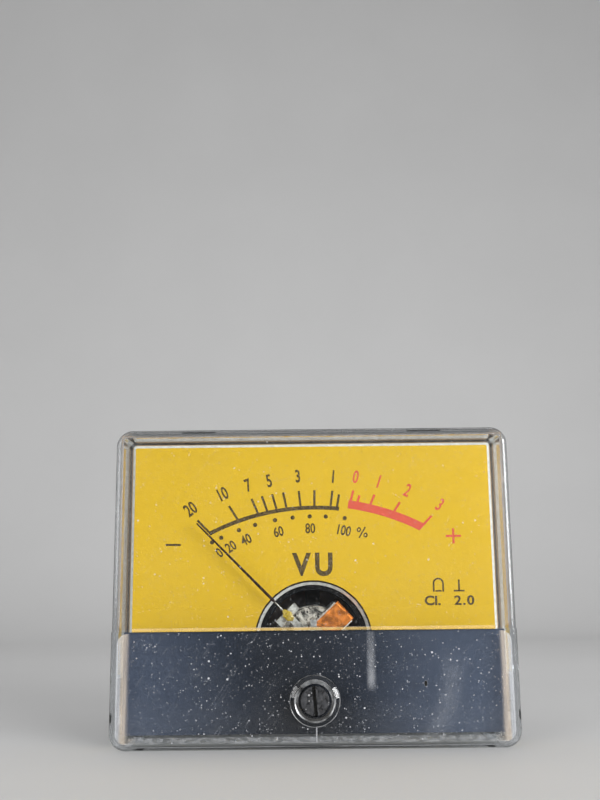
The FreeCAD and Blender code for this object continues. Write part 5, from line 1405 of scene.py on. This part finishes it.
class METER_OT_terminals(bpy.types.Operator):
    """Cut the terminals' threads and make their nuts"""

    bl_idname = "meter.terminals"
    bl_label = "Terminals and nuts"

    def execute(self, context):
        finish, hardware = context.scene.meter_finish, context.scene.meter_hardware
        low, high = (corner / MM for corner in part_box("terminal_studs"))
        nuts_low, nuts_high = (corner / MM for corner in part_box("terminal_nuts"))
        collar = 2.6
        side = high.x - collar
        neck_front, neck_back = nuts_high.y, high.y - 3.4
        end_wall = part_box("rear_barrel")[1].y / MM
        bm = bmesh.new()
        for x in (-side, side):
            front, back = end_wall - 3.8, end_wall - 1.8
            root = [(0, front), (collar, front), (collar, back), (1.5, back)]
            spun(bm, [*root, (1.5, end_wall), (1.24, end_wall), (0, end_wall)], x, 0.0)
            thread(bm, x, 0.0, low.y, end_wall - 3.9, 1.5, hardware, False)
            thread(bm, x, 0.0, end_wall + 0.05, neck_front, 1.5, hardware, False)
            start, end = neck_front - 0.1, neck_back + 0.1
            spun(bm, [(0, start), (1.3, start), (1.3, end), (0, end)], x, 0.0)
            thread(bm, x, 0.0, neck_back, high.y, 1.5, hardware)
        brass = plated("Terminal brass", finish.brass, 0.26, (1, 3, 1), 0.5)
        finished("threaded_terminals", bm, brass, "case", 30.0, ("terminal_studs",))
        bm = bmesh.new()
        tall = 2.4
        for x in (-side, side):
            for start in (nuts_low.y, nuts_high.y - tall):
                hex_nut(bm, x * MM, 0.0, start * MM, (start + tall) * MM, 5.5 * MM, 1.5 * MM, hardware)
        nut = plated("Nut brass", finish.brass, 0.3, (2, 1, 1), 0.4)
        finished("hexagon_nuts", bm, nut, "case", 30.0, ("terminal_nuts",))
        return {"FINISHED"}


class METER_OT_stage(bpy.types.Operator):
    """Set the sweep, the lamps, the world and the camera"""

    bl_idname = "meter.stage"
    bl_label = "Studio"

    def execute(self, context):
        stage = context.scene.meter_stage
        floor = SOLID_BOX[0].z
        bm = bmesh.new()
        half, back = stage.sweep_half, stage.sweep_back
        line = [(-half, floor), (back, floor), (back, floor + half)]
        verts = [bm.verts.new((-half, y, z)) for y, z in line]
        edges = [bm.edges.new(pair) for pair in zip(verts, verts[1:])]
        made = bmesh.ops.extrude_edge_only(bm, edges=edges)["geom"]
        moved = [item for item in made if isinstance(item, bmesh.types.BMVert)]
        bmesh.ops.translate(bm, verts=moved, vec=(2 * half, 0, 0))

        def at_crease(vert):
            return abs(vert.co.y - back) < 1e-9 and abs(vert.co.z - floor) < 1e-9

        crease = [edge for edge in bm.edges if all(at_crease(vert) for vert in edge.verts)]
        bmesh.ops.bevel(bm, geom=crease, offset=0.16, affect="EDGES", segments=16, profile=0.5, material=-1)
        mesh = bpy.data.meshes.new("studio_sweep")
        bm.to_mesh(mesh)
        bm.free()
        mesh.shade_smooth()
        mesh.materials.append(studio_card("Sweep", (0.62, 0.62, 0.62, 1)))
        sweep = bpy.data.objects.new("studio_sweep", mesh)
        context.scene.collection.objects.link(sweep)

        def lamp(name, watts, size, place, shade=(1, 1, 1)):
            data = bpy.data.lights.new(name, "AREA")
            data.shape = "RECTANGLE"
            data.size, data.size_y = size
            data.energy = watts
            data.spread = math.radians(110)
            data.color = shade
            made = bpy.data.objects.new(name, data)
            made.location = place
            way = Vector((0, 0, 0)) - Vector(place)
            made.rotation_euler = way.to_track_quat("-Z", "Y").to_euler()
            context.scene.collection.objects.link(made)

        lamp("key_lamp", stage.key_power, (0.34, 0.22), (-0.36, -0.40, 0.1))
        lamp("fill_lamp", stage.fill_power, (0.36, 0.2), (0.36, -0.38, 0.08))
        lamp("top_lamp", stage.top_power, (0.4, 0.3), (0.0, 0.1, 0.5))

        world = bpy.data.worlds.new("Studio")
        world.use_nodes = True
        tree = world.node_tree
        ground = tree.nodes["Background"]
        light = add(tree, "LightPath").outputs
        way = add(tree, "TexCoord").outputs["Generated"]
        ahead = add(tree, "SeparateXYZ", Vector=way).outputs[1]
        shine = ramp(tree, ahead, -0.97, -0.45, 0.05, 0.85)
        seen = greater(tree, light["Is Camera Ray"], light["Is Transmission Ray"])
        strength = ramp(tree, seen, 0.0, 1.0, stage.world_strength, 0.6)
        glossy = add(tree, "Mix", _0=light["Is Glossy Ray"], _2=strength, _3=shine).outputs[0]
        feed(tree, ground, Color=(1, 1, 1, 1), Strength=glossy)
        context.scene.world = world

        data = bpy.data.cameras.new("Camera")
        data.sensor_width = 36
        data.lens = stage.lens
        data.clip_start = 0.01
        camera = bpy.data.objects.new("Camera", data)
        place = Vector((-1.58, -157.26, 2.28)) * MM
        look = Vector((-0.0009, 0.9817, 0.1906)).normalized()
        up = Vector((0.0106, -0.1906, 0.9816))
        right = look.cross(up).normalized()
        up = right.cross(look)
        turned = Matrix((right, up, -look)).transposed().to_4x4()
        camera.matrix_world = Matrix.Translation(place) @ turned
        context.scene.collection.objects.link(camera)
        context.scene.camera = camera
        context.scene.view_settings.view_transform = "Standard"
        return {"FINISHED"}


OPERATORS = (
    METER_OT_stage,
    METER_OT_cover,
    METER_OT_case,
    METER_OT_dial,
    METER_OT_scale,
    METER_OT_red_scale,
    METER_OT_movement,
    METER_OT_pointer,
    METER_OT_glue,
    METER_OT_circuit,
    METER_OT_threads,
    METER_OT_terminals,
)
GROUPS = {
    "meter_print": MeterPrint,
    "meter_finish": MeterFinish,
    "meter_hardware": MeterHardware,
    "meter_stage": MeterStage,
}


class METER_PT_panel(bpy.types.Panel):
    """Lists the meter's pieces in the sidebar"""

    bl_idname = "METER_PT_panel"
    bl_label = "Level meter"
    bl_space_type = "VIEW_3D"
    bl_region_type = "UI"
    bl_category = "Meter"

    def draw(self, context):
        for operator in OPERATORS:
            self.layout.operator(operator.bl_idname)


def register():
    for made in (*GROUPS.values(), *OPERATORS, METER_PT_panel):
        bpy.utils.register_class(made)
    for name, group in GROUPS.items():
        setattr(bpy.types.Scene, name, bpy.props.PointerProperty(type=group))


def unregister():
    for name in GROUPS:
        delattr(bpy.types.Scene, name)
    for made in reversed((*GROUPS.values(), *OPERATORS, METER_PT_panel)):
        bpy.utils.unregister_class(made)


def main():
    register()
    bpy.ops.meter.stage()
    bpy.ops.meter.cover()
    bpy.ops.meter.case()
    bpy.ops.meter.dial()
    bpy.ops.meter.scale()
    bpy.ops.meter.red_scale()
    bpy.ops.meter.movement()
    bpy.ops.meter.pointer()
    bpy.ops.meter.glue()
    bpy.ops.meter.circuit()
    bpy.ops.meter.threads()
    bpy.ops.meter.terminals()


if __name__ == "__main__":
    main()
